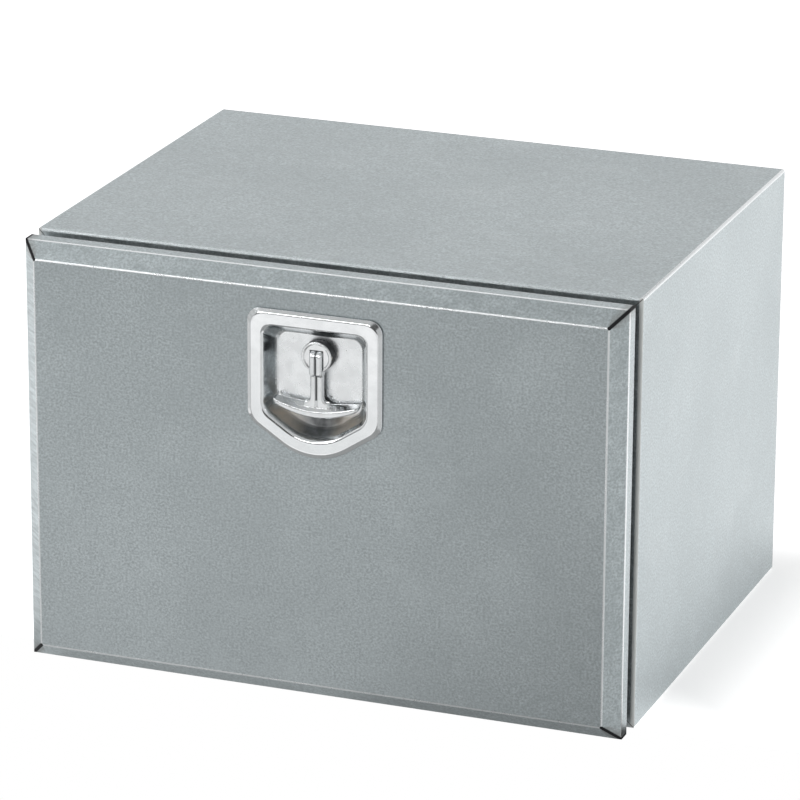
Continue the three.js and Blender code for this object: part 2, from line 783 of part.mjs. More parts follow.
// Cranked cam: folded in side view, tapered and rounded in front view
function latchCam() {
  const tipY = flangeReturn + seat;
  const camCrankEnd = lockDrop - flangeWidth - strikerDrop - camClear;
  const camReach = lockDrop - flangeWidth + camHook;
  const crank = [
    at(camY, -camTail), at(camY, camCrankStart), at(tipY, camCrankEnd), at(tipY, camReach),
  ];
  const side = foldedOutline(crank, -camSheet, camBend);
  const corners = [
    at(camHalfWidth, -camTail), at(camHalfWidth, camCrankStart), at(camTipHalfWidth, camReach),
    at(-camTipHalfWidth, camReach), at(-camHalfWidth, camCrankStart), at(-camHalfWidth, -camTail),
  ];
  const [tailShare, tipShare] = [0.8, 0.7];
  const [tail, tip] = [camHalfWidth * tailShare, camTipHalfWidth * tipShare];
  const front = roundedOutline(corners, [tail, camHalfWidth, tip, tip, camHalfWidth, tail]);
  const half = squareWidth / 2 + runningGap;
  const squareHole = block([-half, half], [camY - overrun, camBackY + seat], [-half, half]);
  return prism(side, 'x', -camHalfWidth, camHalfWidth)
    .intersect(prism(front, 'y', camY - overrun, tipY + camSheet + overrun))
    .subtract(squareHole);
}

function camWasher() {
  const hole = rod(screwRadius + runningGap, 'y', washerY - overrun, washerY + washerSheet + overrun);
  return rod(washerRadius, 'y', washerY, washerY + washerSheet).subtract(hole);
}

const camNut = () => nut(camNutRadius, screwRadius + rivetGap, camNutY, camNutHeight, at(0, 0));

// Angle under the top flange's return, for the cam to hook behind
function strikerPlate() {
  const low = strikerTop - strikerDrop;
  const corners = [at(sheet, strikerTop), at(flangeReturn, strikerTop), at(flangeReturn, low)];
  const outline = foldedOutline(corners, -strikerSheet);
  const plate = prism(outline, 'x', -strikerHalfWidth, strikerHalfWidth);
  return cut(plate, strikerRivets().map(rivetHole));
}

// A mesh for each of a row of like pieces, numbered from 1
function meshes(name, solids, finish, parent) {
  solids.forEach((solid, i) => mesh(`${name}_${i + 1}`, solid, finish, parent));
}

// The tool box. The cabinet carries the door, the door the barrel, and the barrel the handle.

const toolBox = new THREE.Group();
const cabinet = new THREE.Group();
const door = new THREE.Group();
const lock = new THREE.Group();
toolBox.add(cabinet);
cabinet.position.y = frontY;
cabinet.add(door);
door.add(lock);
lock.position.z = lockHeight;

mesh('cabinet_wrapper', cabinetWrapper(), 'steel', cabinet);
mesh('back_panel', backPanel(), 'steel', cabinet);
mesh('door_seal', doorSeal(), 'rubber', cabinet);
mesh('striker_plate', strikerPlate(), 'zinc', cabinet);
meshes('striker_rivet', strikerRivets().map(rivet), 'zinc', cabinet);
mesh('hinge_cabinet_leaf', hingeLeaf(leafOutline(), 1, sillRivets()), 'steel', cabinet);
mesh('hinge_pin', hingePin(), 'zinc', cabinet);
meshes('cabinet_hinge_rivet', sillRivets().map(rivet), 'zinc', cabinet);

mesh('hinge_door_leaf', hingeLeaf(mirrored(leafOutline()), 0, lipRivets()), 'steel', door);
meshes('door_hinge_rivet', lipRivets().map(rivet), 'zinc', door);
mesh('door_skin', doorSkin(), 'steel', door);
mesh('door_stiffener_left', doorStiffener(-hatPlace), 'steel', door);
mesh('door_stiffener_right', doorStiffener(hatPlace), 'steel', door);

mesh('lock_dish', lockDish(), 'bright', lock);
mesh('lock_gasket', lockGasket(), 'rubber', lock);
mesh('lock_backing_frame', lockBackingFrame(), 'zinc', lock);
meshes('lock_stud', studPlaces().map(lockStud), 'zinc', lock);
meshes('lock_nut', studPlaces().map(lockNut), 'zinc', lock);
mesh('lock_bushing', lockBushing(), 'zinc', lock);
mesh('lock_barrel', lockBarrel(), 'bright', lock);
mesh('handle_pin', handlePin(), 'zinc', lock);
mesh('t_handle', tHandle(), 'bright', lock);
mesh('latch_cam', latchCam(), 'zinc', lock);
mesh('cam_washer', camWasher(), 'zinc', lock);
mesh('cam_nut', camNut(), 'zinc', lock);

export default toolBox;
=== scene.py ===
import json
import math

import bmesh
import bpy
from mathutils import Matrix, Vector


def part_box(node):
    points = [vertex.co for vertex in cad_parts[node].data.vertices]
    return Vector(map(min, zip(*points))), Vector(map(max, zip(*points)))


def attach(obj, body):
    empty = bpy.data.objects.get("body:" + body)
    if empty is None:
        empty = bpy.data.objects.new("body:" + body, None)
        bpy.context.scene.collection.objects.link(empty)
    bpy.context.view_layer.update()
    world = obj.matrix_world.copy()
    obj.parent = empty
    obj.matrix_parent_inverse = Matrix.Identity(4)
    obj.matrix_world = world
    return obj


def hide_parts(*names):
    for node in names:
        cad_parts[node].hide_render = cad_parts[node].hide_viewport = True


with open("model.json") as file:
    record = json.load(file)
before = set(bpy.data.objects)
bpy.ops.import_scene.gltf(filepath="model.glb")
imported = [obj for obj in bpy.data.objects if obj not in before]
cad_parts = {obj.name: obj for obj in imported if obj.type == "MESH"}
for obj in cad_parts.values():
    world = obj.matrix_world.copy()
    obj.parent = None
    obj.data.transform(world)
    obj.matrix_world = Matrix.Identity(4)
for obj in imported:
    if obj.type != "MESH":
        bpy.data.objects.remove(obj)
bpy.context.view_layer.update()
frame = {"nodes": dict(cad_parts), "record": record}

# The box's own sizes, in metres, as in the part's source. The door's face counts from the cabinet's front
# flange, and every other Y place from the middle of the footprint.
BOX_HALF_WIDTH = 0.300
BOX_HEIGHT = 0.420
CABINET_DEPTH = 0.449
FLANGE_Y = -0.199
FLANGE_WIDTH = 0.030
DOOR_HALF_WIDTH = 0.298
DOOR_HALF_HEIGHT = 0.2085
DOOR_FACE_Y = -0.047
BEVEL = 0.015
SHEET = 0.0015
SEAT = 0.0003
BACK_FLANGE = 0.018
HAT_SHEET = 0.0012
HAT_X = 0.190
HAT_BRIM_X = 0.021

# The lock's dish. Heights count from the hub's centre.
HUB_HEIGHT = 0.341
HUB_RADIUS = 0.015
DISH_HALF_WIDTH = 0.067
DISH_TOP = 0.0435
DISH_SHOULDER = 0.065
DISH_POINT = 0.109
DISH_SHEET = 0.0014
DISH_BEND = 0.0025
DISH_BEND_STEPS = 6
DISH_DRAFT = 0.0095
DISH_DEPTH = 0.0165
DISH_HOLE = 0.0093
RIM_BORDER = 0.0043
RIM_WIDTH = 0.0152
RIM_STAND = 0.004
RIM_Y = FLANGE_Y + DOOR_FACE_Y - RIM_STAND
DISH_FLOOR_Y = RIM_Y + DISH_DEPTH
HUB_SINK = 0.006
HUB_FRONT_Y = RIM_Y + HUB_SINK
STEM_LENGTH = 0.042
SHIELD_RADII = (0.018, 0.013, 0.013, 0.018, 0.060)
RADIUS_SHRINK = 0.6
SHIELD_STEPS = 18
HOLE_RING_INSET = 0.026

# Rivets
HEAD_HEIGHT = 0.0013
TAIL_LENGTH = 0.003

# Facets that differ by less than FLAT are one flat part. Facets of one fold differ by less than FOLD_STEP,
# and are narrower than NARROW_FOLD on sheet and WIDE_FOLD on the seal.
FLAT = math.radians(0.5)
FOLD_STEP = math.radians(28.0)
NARROW_FOLD = 0.0017
WIDE_FOLD = 0.0030


# Node trees

NUMBER = "NodeSocketFloat"
WHOLE = "NodeSocketInt"
PLACE = "NodeSocketVector"
GEOMETRY = "NodeSocketGeometry"
FINISH = "NodeSocketMaterial"
# Most of a noise's values lie in this range
NOISE_RANGE = (0.3, 0.7)
# The Mix node's inputs and output for each kind of data
MIX_SOCKETS = {"FLOAT": ((0, 2, 3), 0), "RGBA": ((0, 6, 7), 2)}


def is_socket(value):
    return isinstance(value, bpy.types.NodeSocket)


class Wiring:
    """Adds nodes to one tree. An input that is a socket is linked, and any other is set."""

    def __init__(self, tree):
        self.tree = tree

    def feed(self, value, socket):
        if is_socket(value):
            self.tree.links.new(value, socket)
        else:
            socket.default_value = value

    def node(self, kind, inputs=None, **settings):
        node = self.tree.nodes.new(kind)
        for name, value in settings.items():
            setattr(node, name, value)
        for name, value in (inputs or {}).items():
            self.feed(value, node.inputs[name])
        return node

    def math(self, operation, *values):
        node = self.node("ShaderNodeMath", operation=operation)
        for value, socket in zip(values, node.inputs):
            self.feed(value, socket)
        return node.outputs["Value"]

    def product(self, first, *others):
        for other in others:
            first = self.math("MULTIPLY", first, other)
        return first

    def minus(self, value, part):
        return self.math("SUBTRACT", value, part)

    def larger(self, first, second):
        return self.math("MAXIMUM", first, second)

    def size(self, value):
        return self.math("ABSOLUTE", value)

    def less(self, value, part, share):
        """The value less a share of the part."""
        return self.minus(value, self.product(part, share))

    def vector(self, operation, *values):
        node = self.node("ShaderNodeVectorMath", operation=operation)
        for value, socket in zip(values, node.inputs):
            self.feed(value, socket)
        output = "Value" if operation in ("DOT_PRODUCT", "LENGTH") else "Vector"
        return node.outputs[output]

    def spread(self, value, low, high, to_low=0.0, to_high=1.0):
        """Maps the range from low to high onto another range, with soft ends."""
        inputs = {"Value": value, "From Min": low, "From Max": high, "To Min": to_low, "To Max": to_high}
        node = self.node("ShaderNodeMapRange", inputs, interpolation_type="SMOOTHSTEP")
        return node.outputs["Result"]

    def over_noise(self, noise, to_low=0.0, to_high=1.0):
        """Maps the range that holds most of a noise onto another range."""
        return self.spread(noise, *NOISE_RANGE, to_low, to_high)

    def noise(self, vector, scale, detail=2.0, roughness=0.5):
        inputs = {"Vector": vector, "Scale": scale, "Detail": detail, "Roughness": roughness}
        return self.node("ShaderNodeTexNoise", inputs).outputs["Fac"]

    def mixed(self, kind, *values):
        node = self.node("ShaderNodeMix", data_type=kind)
        places, output = MIX_SOCKETS[kind]
        for value, place in zip(values, places):
            self.feed(value, node.inputs[place])
        return node.outputs[output]

    def mix(self, factor, first, second):
        return self.mixed("FLOAT", factor, first, second)

    def mix_colour(self, factor, first, second):
        return self.mixed("RGBA", factor, first, second)

    def xyz(self, vector):
        return self.node("ShaderNodeSeparateXYZ", {"Vector": vector}).outputs

    def joined(self, **parts):
        """A vector from its named parts, where one that isn't named is 0."""
        return self.node("ShaderNodeCombineXYZ", parts).outputs["Vector"]

    def placed(self, group, inputs):
        node = self.tree.nodes.new("ShaderNodeGroup")
        node.node_tree = group
        for name, value in inputs.items():
            self.feed(value, node.inputs[name])
        return node.outputs


def new_group(name, kind, inputs, outputs):
    """An empty node group with named sockets. Each input is (name, socket type, value)."""
    group = bpy.data.node_groups.new(name, kind)
    for title, socket_type, value in inputs:
        socket = group.interface.new_socket(title, in_out="INPUT", socket_type=socket_type)
        if value is not None:
            socket.default_value = value
    for title, socket_type in outputs:
        group.interface.new_socket(title, in_out="OUTPUT", socket_type=socket_type)
    entry = group.nodes.new("NodeGroupInput").outputs
    exit_node = group.nodes.new("NodeGroupOutput").inputs
    return group, Wiring(group), entry, exit_node


# Effects that the finishes share

def rolled_grain_effect():
    """The fine mottle of a dull rolled sheet, stretched out a little along the roll, and its slow clouds."""
    group, wire, given, result = new_group(
        "Rolled grain", "ShaderNodeTree",
        [("Place", PLACE, None), ("Facing", PLACE, None), ("Grains per metre", NUMBER, 520.0),
         ("Draw", NUMBER, 1.2)],
        [("Grain", NUMBER), ("Mottle", NUMBER), ("Cloud", NUMBER)],
    )
    mottle_scale, cloud_scale = 0.16, 6.5
    facing = wire.xyz(given["Facing"])
    side = wire.spread(wire.size(facing["X"]), 0.6, 0.8)
    place = wire.xyz(given["Place"])
    along = wire.math("DIVIDE", wire.mix(side, place["X"], place["Y"]), given["Draw"])
    across = wire.mix(side, place["Y"], place["X"])
    flat = wire.joined(X=along, Y=across, Z=place["Z"])
    wire.feed(wire.noise(flat, given["Grains per metre"], 3.0, 0.62), result["Grain"])
    mottles = wire.product(given["Grains per metre"], mottle_scale)
    wire.feed(wire.noise(flat, mottles, 3.0, 0.6), result["Mottle"])
    wire.feed(wire.noise(given["Place"], cloud_scale, 4.0, 0.55), result["Cloud"])
    return group


def handling_effect():
    """Wiped smudges, and fine scratches that lie every way."""
    group, wire, given, result = new_group(
        "Handling marks", "ShaderNodeTree",
        [("Place", PLACE, None), ("Smudge size", NUMBER, 14.0), ("Scratches per metre", NUMBER, 30.0),
         ("Scratch width", NUMBER, 0.012)],
        [("Smudge", NUMBER), ("Scratch", NUMBER)],
    )
    swirl_scale, swirl_reach = 7.0, (0.12, 0.12, 0.12)
    turns_and_shifts = ((0.5, 0.0), (-0.9, 3.7), (1.9, 8.1))
    scratch_draw, gap_scale = (1.0, 0.06, 1.0), 40.0
    swirl = wire.node("ShaderNodeTexNoise", {"Vector": given["Place"], "Scale": swirl_scale}).outputs["Color"]
    bent = wire.vector("ADD", given["Place"], wire.vector("MULTIPLY", swirl, swirl_reach))
    patches = wire.noise(bent, given["Smudge size"], 3.0, 0.6)
    wire.feed(wire.spread(patches, 0.52, 0.72), result["Smudge"])
    scratch = None
    for turn, shift in turns_and_shifts:
        turned = wire.node("ShaderNodeMapping", {
            "Vector": given["Place"], "Rotation": (turn, turn * 0.8, turn), "Location": (shift, shift, shift),
            "Scale": scratch_draw,
        }).outputs["Vector"]
        cells = wire.node("ShaderNodeTexVoronoi", {"Vector": turned, "Scale": given["Scratches per metre"]},
                          feature="DISTANCE_TO_EDGE").outputs["Distance"]
        line = wire.math("LESS_THAN", cells, given["Scratch width"])
        line = wire.product(line, wire.spread(wire.noise(turned, gap_scale, 1.0), 0.55, 0.62))
        scratch = line if scratch is None else wire.larger(scratch, line)
    wire.feed(scratch, result["Scratch"])
    return group


def edge_effect():
    """Edges and folds: rounded as the press leaves them, with a painted highlight beside them, and rubbed
    here and there.
    """
    group, wire, given, result = new_group(
        "Rubbed and highlighted edges", "ShaderNodeTree",
        [("Place", PLACE, None), ("Width", NUMBER, 0.001)],
        [("Rubbed", NUMBER), ("Fold highlight", NUMBER), ("Rounded", PLACE)],
    )
    slight_turn, plain_turn, full_turn = 0.002, 0.03, 0.2
    rounded = wire.node("ShaderNodeBevel", {"Radius": given["Width"]}, samples=6).outputs["Normal"]
    true = wire.node("ShaderNodeNewGeometry").outputs["Normal"]
    turn = wire.minus(1.0, wire.vector("DOT_PRODUCT", rounded, true))
    broken = wire.over_noise(wire.noise(given["Place"], 180.0, 3.0), 0.3, 1.0)
    wire.feed(wire.product(wire.spread(turn, plain_turn, full_turn), broken), result["Rubbed"])
    # A painted highlight beside edges and folds
    wire.feed(wire.spread(turn, slight_turn, plain_turn), result["Fold highlight"])
    wire.feed(rounded, result["Rounded"])
    return group


def mitre_effect():
    """The welded mitres at the corners of a folded pan, and the border along its side edges, which the finish
    makes matt and paints lighter.

    The seam is dark, with a relief hole at its inner end and a heat tint round it.
    """
    group, wire, given, result = new_group(
        "Mitre seams", "ShaderNodeTree",
        [("Place", PLACE, None), ("Half width", NUMBER, 0.3), ("Half height", NUMBER, 0.2),
         ("Middle", NUMBER, 0.2), ("Back", NUMBER, 0.0), ("Reach", NUMBER, 0.015),
         ("Seam width", NUMBER, 0.001), ("Hole", NUMBER, 0.0012)],
        [("Seam", NUMBER), ("Tint", NUMBER), ("Border", NUMBER)],
    )
    seam_fade, tint_width, border_width, border_fade = 0.001, 4.0, 0.0036, 0.0008
    width = given["Seam width"]
    place = wire.xyz(given["Place"])
    above = wire.minus(place["Z"], given["Middle"])
    inside = wire.minus(given["Half width"], wire.size(place["X"]))
    within = wire.minus(given["Half height"], wire.size(above))
    off_line = wire.size(wire.minus(inside, within))
    farther = wire.larger(inside, within)
    ahead = wire.math("LESS_THAN", place["Y"], given["Back"])
    reach_end = wire.math("ADD", given["Reach"], seam_fade)
    near = wire.product(wire.spread(farther, given["Reach"], reach_end, 1.0, 0.0), ahead)
    line = wire.product(wire.spread(off_line, wire.product(width, 0.5), width, 1.0, 0.0), near)
    to_hole = wire.joined(X=wire.minus(inside, given["Reach"]), Y=wire.minus(within, given["Reach"]))
    distance = wire.vector("LENGTH", to_hole)
    hole = wire.spread(distance, wire.product(given["Hole"], 0.7), given["Hole"], 1.0, 0.0)
    wire.feed(wire.larger(line, hole), result["Seam"])
    ragged = wire.over_noise(wire.noise(given["Place"], 260.0, 2.0), 0.5, 1.0)
    halo = wire.spread(off_line, width, wire.product(width, tint_width), 1.0, 0.0)
    wire.feed(wire.product(halo, near, ragged), result["Tint"])
    border = wire.spread(inside, border_width, border_width + border_fade, 1.0, 0.0)
    wire.feed(wire.product(border, ahead), result["Border"])
    return group


def crevice_dirt_and_shade_effect():
    """Dirt and painted shade where the buff and hands don't reach: corners darkened by how closed in they
    are.
    """
    group, wire, given, result = new_group(
        "Dirt and painted shade in crevices", "ShaderNodeTree",
        [("Place", PLACE, None), ("Reach", NUMBER, 0.003)],
        [("Dirt and shade", NUMBER)],
    )
    closed, open_enough = 0.25, 0.72
    openness = wire.node("ShaderNodeAmbientOcclusion", {"Distance": given["Reach"]}, samples=6,
                         only_local=True).outputs["AO"]
    patchy = wire.over_noise(wire.noise(given["Place"], 240.0, 3.0), 0.75, 1.0)
    wire.feed(wire.product(wire.spread(openness, closed, open_enough, 1.0, 0.0), patchy), result["Dirt and shade"])
    return group


ROLLED_GRAIN = rolled_grain_effect()
HANDLING = handling_effect()
RUBBED_AND_HIGHLIGHTED_EDGES = edge_effect()
MITRE_SEAMS = mitre_effect()
CREVICE_DIRT_AND_SHADE = crevice_dirt_and_shade_effect()


# Finishes

# Lighter tone for rubbed wear and painted highlights on folds
WEAR_AND_HIGHLIGHT_TONE = (0.84, 0.86, 0.87, 1)
# Lighter matt tone: painted light on the strip along the side edges
MATT_PAINTED_LIGHT = (0.80, 0.81, 0.80, 1)
HEAT_TINT = (0.20, 0.19, 0.18, 1)
DARK_SEAM = (0.035, 0.035, 0.037, 1)
# Dirt and painted shade in corners and creases
DIRT_AND_SHADE_TONE = (0.05, 0.052, 0.054, 1)
# Painted dark reflection down the stem's middle
PAINTED_STEM_REFLECTION = (0.04, 0.042, 0.044, 1)
# Painted shade on the hub's side
PAINTED_HUB_SHADE = (0.03, 0.032, 0.034, 1)
# Dark wet stain and the painted shadow of the handle's bar
WET_STAIN_AND_BAR_SHADOW = (0.08, 0.085, 0.088, 1)
DUST = (0.76, 0.67, 0.56, 1)
# Painted dark reflection on the dish's side walls
PAINTED_WALL_REFLECTION = (0.36, 0.40, 0.415, 1)


def tone_of(colour, share):
    """A colour made darker or lighter."""
    return tuple(c * share for c in colour[:3]) + (1,)


def new_finish(name, metallic=0.0):
    material = bpy.data.materials.new(name)
    material.use_nodes = True
    tree = material.node_tree
    tree.nodes.clear()
    wire = Wiring(tree)
    surface = wire.node("ShaderNodeOutputMaterial").inputs["Surface"]
    shader = wire.node("ShaderNodeBsdfPrincipled")
    tree.links.new(shader.outputs["BSDF"], surface)
    where = wire.node("ShaderNodeTexCoord").outputs
    shader.inputs["Metallic"].default_value = metallic
    return material, wire, shader, where


def bumped(wire, shader, height, distance, strength=1.0, normal=None):
    inputs = {"Height": height, "Distance": distance, "Strength": strength}
    if normal is not None:
        inputs["Normal"] = normal
    wire.feed(wire.node("ShaderNodeBump", inputs).outputs["Normal"], shader.inputs["Normal"])


def sheet_finish(name, light, dark, roughness, mitres=None, buckle_depth=0.0035, matt_painted_light=0.0):
    """Dull rolled stainless sheet: grain, wiped smudges, folds and edges made lighter as painted highlight
    and wear, and a slight buckle.

    Mitres are the sizes of the seams at its corners. matt_painted_light is how strongly the strip along its
    side edges is made matt and painted lighter.
    """
    material, wire, shader, where = new_finish(name, 1.0)
    place = where["Object"]
    grain = wire.placed(ROLLED_GRAIN, {"Place": place, "Facing": where["Normal"]})
    marks = wire.placed(HANDLING, {"Place": place})
    edge = wire.placed(RUBBED_AND_HIGHLIGHTED_EDGES, {"Place": place, "Width": 0.0024})
    fold = wire.node("ShaderNodeAttribute", attribute_name="fold").outputs["Fac"]
    # Painted highlight along the folds and beside the edges, mixed with rubbed wear on the edges
    wear_and_highlight = wire.larger(edge["Fold highlight"], edge["Rubbed"])
    bright = wire.larger(wire.product(wear_and_highlight, 0.6), wire.product(fold, 0.9))
    tone = wire.mix(0.4, grain["Mottle"], grain["Cloud"])
    colour = wire.mix_colour(wire.spread(tone, 0.34, 0.66), dark, light)
    speckle = wire.product(wire.over_noise(grain["Grain"]), 0.85)
    colour = wire.mix_colour(speckle, colour, tone_of(dark, 0.72))
    colour = wire.mix_colour(bright, colour, WEAR_AND_HIGHLIGHT_TONE)
    rough = wire.over_noise(grain["Mottle"], roughness - 0.04, roughness + 0.04)
    rough = wire.less(wire.less(rough, marks["Smudge"], 0.04), bright, 0.14)
    relief = wire.less(grain["Grain"], marks["Scratch"], 0.6)
    if mitres:
        seams = wire.placed(MITRE_SEAMS, {"Place": place, **mitres})
        # Painted light: the strip along the side edges made matt and lighter
        border = wire.product(seams["Border"], matt_painted_light)
        colour = wire.mix_colour(border, colour, MATT_PAINTED_LIGHT)
        rough = wire.mix(border, rough, 0.8)
        colour = wire.mix_colour(wire.product(seams["Tint"], 0.55), colour, HEAT_TINT)
        colour = wire.mix_colour(seams["Seam"], colour, DARK_SEAM)
        rough = wire.math("ADD", rough, wire.product(seams["Seam"], 0.3))
        relief = wire.less(relief, seams["Seam"], 8.0)
    wire.feed(colour, shader.inputs["Base Color"])
    wire.feed(rough, shader.inputs["Roughness"])
    buckled = wire.node("ShaderNodeBump", {
        "Height": wire.noise(place, 3.2, 1.0, 0.4), "Distance": buckle_depth, "Normal": edge["Rounded"],
    }).outputs["Normal"]
    bumped(wire, shader, relief, 0.00003, 0.8, buckled)
    return material


def wall_reflection_mask(wire, place, amount):
    """A mask of the dish's side walls, with faint lines along them, where a dark reflection is painted."""
    spot_y = wire.xyz(place)["Y"]
    below_rim = wire.spread(spot_y, RIM_Y + 0.0015, RIM_Y + 0.0045)
    above_floor = wire.spread(spot_y, DISH_FLOOR_Y - 0.0035, DISH_FLOOR_Y - 0.0015, 1.0, 0.0)
    lines = wire.node("ShaderNodeMapping", {"Vector": place, "Scale": (1.0, 0.08, 1.0)}).outputs["Vector"]
    lined = wire.over_noise(wire.noise(lines, 420.0, 2.0), amount * 0.8, amount)
    return wire.product(lined, wire.product(below_rim, above_floor))


def settled_dust_and_shadow(wire, place, amount):
    """A mask of the dish's lower end, where dust settles and a shadow is painted, and the colour there."""
    spot = wire.xyz(place)
    low = wire.spread(spot["Z"], HUB_HEIGHT - 0.060, HUB_HEIGHT - 0.050, 1.0, 0.0)
    inner = wire.spread(spot["Y"], RIM_Y + 0.0035, RIM_Y + 0.0075)
    streaks = wire.over_noise(wire.noise(place, 75.0, 4.0), 0.6, 1.0)
    # Dark in the middle under the handle's bar, as painted shadow; dust towards the sides
    off_middle = wire.spread(wire.size(spot["X"]), 0.008, 0.030)
    dust_and_shadow = wire.product(low, inner, wire.product(streaks, amount))
    return dust_and_shadow, wire.mix_colour(off_middle, WET_STAIN_AND_BAR_SHADOW, DUST)


def stem_reflection_line(wire, place, amount):
    """A mask of a dark line down the middle of the handle's stem, a painted reflection."""
    spot = wire.xyz(place)
    above_bar = wire.math("GREATER_THAN", spot["Z"], HUB_HEIGHT - STEM_LENGTH)
    middle = wire.spread(wire.size(spot["X"]), 0.0006, 0.0014, 1.0, 0.0)
    return wire.product(middle, above_bar, amount)


def hub_side(wire, place, amount):
    """A mask of the hub's side, behind its front face, where shade is painted."""
    from_hub = wire.vector("SUBTRACT", place, (0.0, 0.0, HUB_HEIGHT))
    flat = wire.vector("MULTIPLY", from_hub, (1.0, 0.0, 1.0))
    side = wire.spread(wire.vector("LENGTH", flat), HUB_RADIUS - 0.0012, HUB_RADIUS - 0.0004)
    behind = wire.spread(wire.xyz(place)["Y"], HUB_FRONT_Y + 0.0008, HUB_FRONT_Y + 0.0014)
    return wire.product(side, behind, amount)


def polished_finish(name, colour, roughness, deep_roughness, crevices, hub_shade=0.0, pit_dust_and_shadow=0.0, stem_reflection=0.0,
                    wall_reflection=0.0):
    """Polished stainless, more satin where the buff doesn't reach.

    Crevices is how dark the dirt and painted shade in its corners is, hub_shade how dark the painted shade on
    the hub's side, pit_dust_and_shadow how strong the dust and painted shadow at the dish's lower end,
    stem_reflection how dark the painted reflection down the stem, and wall_reflection how dark the painted
    reflection on the dish's side walls.
    """
    material, wire, shader, where = new_finish(name, 1.0)
    place = where["Object"]
    marks = wire.placed(HANDLING, {"Place": place, "Smudge size": 60.0, "Scratches per metre": 160.0})
    cloud = wire.noise(place, 60.0, 3.0)
    depth = wire.xyz(place)["Y"]
    rough = wire.spread(depth, RIM_Y + 0.002, DISH_FLOOR_Y - 0.002, roughness, deep_roughness)
    tone = wire.mix_colour(wire.over_noise(cloud), colour, tone_of(colour, 0.94))
    # Dirt and painted shade: corners darkened by how closed in they are, in patches
    crevice_dark = wire.placed(CREVICE_DIRT_AND_SHADE, {"Place": place})["Dirt and shade"]
    tone = wire.mix_colour(wire.product(crevice_dark, crevices), tone, DIRT_AND_SHADE_TONE)
    # Painted reflection: the dish's side walls darkened, with faint lines
    if wall_reflection:
        tone = wire.mix_colour(wall_reflection_mask(wire, place, wall_reflection), tone, PAINTED_WALL_REFLECTION)
    if pit_dust_and_shadow:
        # Settled dust, with the handle bar's painted shadow dark in the middle
        dust_and_shadow, dust_and_shadow_tone = settled_dust_and_shadow(wire, place, pit_dust_and_shadow)
        tone = wire.mix_colour(dust_and_shadow, tone, dust_and_shadow_tone)
        rough = wire.mix(dust_and_shadow, rough, 0.5)
        wire.feed(wire.less(1.0, dust_and_shadow, 0.75), shader.inputs["Metallic"])
    if stem_reflection:
        # Painted reflection: a dark line down the stem's middle
        tone = wire.mix_colour(stem_reflection_line(wire, place, stem_reflection), tone, PAINTED_STEM_REFLECTION)
    if hub_shade:
        # Painted shade: the hub's side darkened, and made rougher
        hub_shade_mask = hub_side(wire, place, hub_shade)
        tone = wire.mix_colour(hub_shade_mask, tone, PAINTED_HUB_SHADE)
        rough = wire.mix(hub_shade_mask, rough, 0.5)
    wire.feed(tone, shader.inputs["Base Color"])
    rough = wire.product(rough, wire.over_noise(cloud, 0.85, 1.2))
    wire.feed(wire.math("ADD", rough, wire.product(marks["Smudge"], 0.04)), shader.inputs["Roughness"])
    relief = wire.less(wire.noise(place, 130.0, 2.0), marks["Scratch"], 0.5)
    bumped(wire, shader, relief, 0.00002, 0.5)
    return material


def zinc_finish(name):
    """Zinc plate with a faint yellow and blue cast."""
    material, wire, shader, where = new_finish(name, 1.0)
    place = where["Object"]
    cloud = wire.noise(place, 90.0, 4.0)
    tint = wire.mix_colour(wire.spread(cloud, 0.35, 0.65), (0.56, 0.58, 0.60, 1), (0.68, 0.66, 0.58, 1))
    wire.feed(tint, shader.inputs["Base Color"])
    wire.feed(wire.over_noise(cloud, 0.28, 0.42), shader.inputs["Roughness"])
    bumped(wire, shader, wire.noise(place, 700.0, 2.0), 0.00003, 0.6)
    return material


def rubber_finish(name, colour):
    """Dull black rubber with some dust on it."""
    material, wire, shader, where = new_finish(name)
    place = where["Object"]
    dust = wire.spread(wire.noise(place, 45.0, 4.0, 0.65), 0.5, 0.75)
    dusted = wire.mix_colour(wire.product(dust, 0.5), colour, tone_of(colour, 2.4))
    wire.feed(dusted, shader.inputs["Base Color"])
    wire.feed(wire.spread(dust, 0.0, 1.0, 0.55, 0.8), shader.inputs["Roughness"])
    bumped(wire, shader, wire.noise(place, 1600.0, 2.0), 0.00004, 0.6)
    return material


SHEET_LIGHT = (0.600, 0.655, 0.672, 1)
SHEET_DARK = (0.485, 0.533, 0.548, 1)
SHEET_ROUGHNESS = 0.42
CABINET_SHEET = sheet_finish(
    "Cabinet sheet", SHEET_LIGHT, SHEET_DARK, SHEET_ROUGHNESS,
    {"Half width": BOX_HALF_WIDTH, "Half height": BOX_HEIGHT / 2, "Middle": BOX_HEIGHT / 2,
     "Back": FLANGE_Y + SHEET, "Reach": FLANGE_WIDTH, "Seam width": 0.0003, "Hole": 0.0008},
    matt_painted_light=1.0,
)
DOOR_SHEET = sheet_finish(
    "Door sheet", SHEET_LIGHT, SHEET_DARK, SHEET_ROUGHNESS,
    {"Half width": DOOR_HALF_WIDTH, "Half height": DOOR_HALF_HEIGHT, "Middle": BOX_HEIGHT / 2,
     "Back": FLANGE_Y, "Reach": BEVEL, "Seam width": 0.0032, "Hole": 0.0020},
)
INNER_SHEET = sheet_finish("Inner sheet", SHEET_LIGHT, SHEET_DARK, SHEET_ROUGHNESS)
HINGE_SHEET = sheet_finish("Hinge sheet", (0.62, 0.64, 0.65, 1), (0.50, 0.52, 0.53, 1), 0.36,
                           buckle_depth=0.0)
DISH_STEEL = polished_finish("Dish steel", (0.90, 0.915, 0.925, 1), 0.12, 0.26, 0.5, pit_dust_and_shadow=0.9, wall_reflection=0.85)
BARREL_STEEL = polished_finish("Barrel steel", (0.88, 0.89, 0.895, 1), 0.2, 0.2, 0.9, hub_shade=0.95)
HANDLE_STEEL = polished_finish("Handle steel", (0.82, 0.835, 0.845, 1), 0.2, 0.2, 0.9, stem_reflection=0.85)
